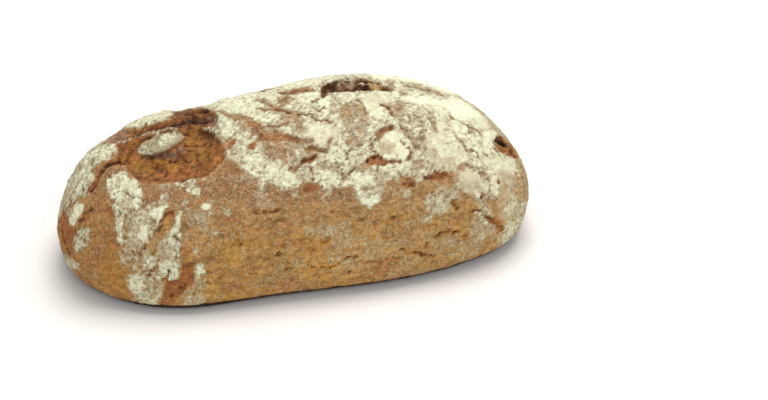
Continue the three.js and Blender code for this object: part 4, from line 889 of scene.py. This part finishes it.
dust = math_node("MULTIPLY", dust, map_range(a_flour, -0.05, 0.12, 0.25, 1.0))
shade = math_node("ADD", 0.18, math_node("MULTIPLY", streaks, 1.55))
shade = math_node("MULTIPLY", shade, map_range(pits, 0.30, 0.46, 0.55, 1.05))
bare = scale_color(a_skin, shade)
bare = mix_color(dust, bare, (0.64, 0.50, 0.27))
grains = math_node("ADD", math_node("MULTIPLY", math_node("SUBTRACT", grain, 0.5), 1.6), math_node("SUBTRACT", fine, 0.5))
cake = math_node("ADD", math_node("MULTIPLY", a_flour, 0.9), math_node("MULTIPLY", grains, map_range(a_even, 0.0, 1.0, 1.0, 0.40)))
flour_col = mix_color(map_range(cake, 0.45, 1.25), (0.60, 0.555, 0.365), (0.86, 0.865, 0.625))
col = mix_color(cover, bare, flour_col)
dash = math_node("MAXIMUM", dashes(210, 28, 2.2, 0.020), math_node("MULTIPLY", dashes(330, 22, 2.0, 0.022), 0.8))
dash = math_node("MULTIPLY", dash, map_range(noise(95, 2, 0.6), 0.46, 0.60))
dash = math_node("MULTIPLY", dash, map_range(a_flour, 0.25, 0.70, 0.25, 1.0))
dash = math_node("MULTIPLY", dash, map_range(a_even, 0.0, 1.0, 1.0, 0.35))
col = mix_color(math_node("MULTIPLY", dash, 0.60), col, (0.17, 0.105, 0.055))
# from the dark attribute, which holds crack and groove colour with painted shade in them, painted shade in the crater
# and the crown pit, and the painted contact shadow along the base; it tints the colour towards dark brown, then
# near-black
dark_and_painted_shade = math_node("MULTIPLY", a_dark, map_range(math_node("ADD", grain, math_node("MULTIPLY", a_dark, 0.5)), 0.45, 0.85))
col = mix_color(math_node("MULTIPLY", map_range(dark_and_painted_shade, 0.0, 0.6), 0.85), col, (0.17, 0.062, 0.020))
col = mix_color(map_range(dark_and_painted_shade, 0.45, 1.0), col, (0.028, 0.010, 0.004))
link(col, bsdf.inputs["Base Color"])
rough = math_node("SUBTRACT", map_range(cover, 0.0, 1.0, 0.72, 0.95, "LINEAR"), math_node("MULTIPLY", a_crumb, 0.08))
link(rough, bsdf.inputs["Roughness"])
bsdf.inputs["Specular IOR Level"].default_value = 0.22
bump_h = math_node("ADD", math_node("MULTIPLY", grain, 1.0), math_node("MULTIPLY", fine, 0.6))
bump_h = math_node("SUBTRACT", bump_h, math_node("MULTIPLY", dark_and_painted_shade, 0.5))
bump_h = math_node("ADD", bump_h, math_node("MULTIPLY", cover, 0.20))
bump_h = math_node("MULTIPLY", bump_h, map_range(a_even, 0.0, 1.0, 1.15, 0.5))
bump = nt.nodes.new("ShaderNodeBump"); bump.inputs["Strength"].default_value = 0.9; bump.inputs["Distance"].default_value = 0.0012
link(bump_h, bump.inputs["Height"]); link(bump.outputs["Normal"], bsdf.inputs["Normal"])
me.materials.append(mat)

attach(crust, "root"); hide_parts("loaf")

# ------------------------------------------------------------------ floor, light, camera
fm = bpy.data.meshes.new("floor")
fm.from_pydata([(-4, -4, 0), (4, -4, 0), (4, 4, 0), (-4, 4, 0)], [], [(0, 1, 2, 3)])
floor = bpy.data.objects.new("floor", fm); bpy.context.scene.collection.objects.link(floor)
fmat = bpy.data.materials.new("floor"); fmat.use_nodes = True
fb = fmat.node_tree.nodes["Principled BSDF"]
fb.inputs["Base Color"].default_value = (0.91, 0.895, 0.86, 1); fb.inputs["Roughness"].default_value = 0.9
fm.materials.append(fmat)

world = bpy.data.worlds.new("sky"); bpy.context.scene.world = world; world.use_nodes = True
bg = world.node_tree.nodes["Background"]
bg.inputs["Color"].default_value = (1.0, 1.0, 1.0, 1); bg.inputs["Strength"].default_value = 0.46


def area_light(name, at, look, size, power, color=(1, 1, 1)):
    ld = bpy.data.lights.new(name, "AREA"); ld.shape = "SQUARE"; ld.size = size; ld.energy = power; ld.color = color
    lo = bpy.data.objects.new(name, ld); bpy.context.scene.collection.objects.link(lo)
    lo.location = at
    lo.rotation_euler = (Vector(look) - Vector(at)).to_track_quat("-Z", "Y").to_euler()
    return lo


area_light("key", (0.20, 0.20, 1.30), (0, 0, 0.05), 0.95, 14.2)
area_light("front", (0.0, -1.50, 1.00), (0, 0, 0.03), 1.3, 9.0)

cam = bpy.data.cameras.new("camera"); cam.sensor_width = 36.0; cam.lens = FOCAL_PX / 768 * 36
cam.clip_start = 0.01; cam.clip_end = 50
co = bpy.data.objects.new("camera", cam); bpy.context.scene.collection.objects.link(co)
right = YAW_M.T @ np.array([1, 0, 0]); up = YAW_M.T @ np.array([0, math.sin(ELEV), math.cos(ELEV)])
back = -(YAW_M.T @ np.array([0, math.cos(ELEV), -math.sin(ELEV)]))
m = Matrix.Identity(4)
for r in range(3):
    m[r][0], m[r][1], m[r][2] = right[r], up[r], back[r]
    m[r][3] = (CAM_L - CENTRE)[r] / 1000
co.matrix_world = m
bpy.context.scene.camera = co
bpy.context.scene.view_settings.view_transform = "Standard"
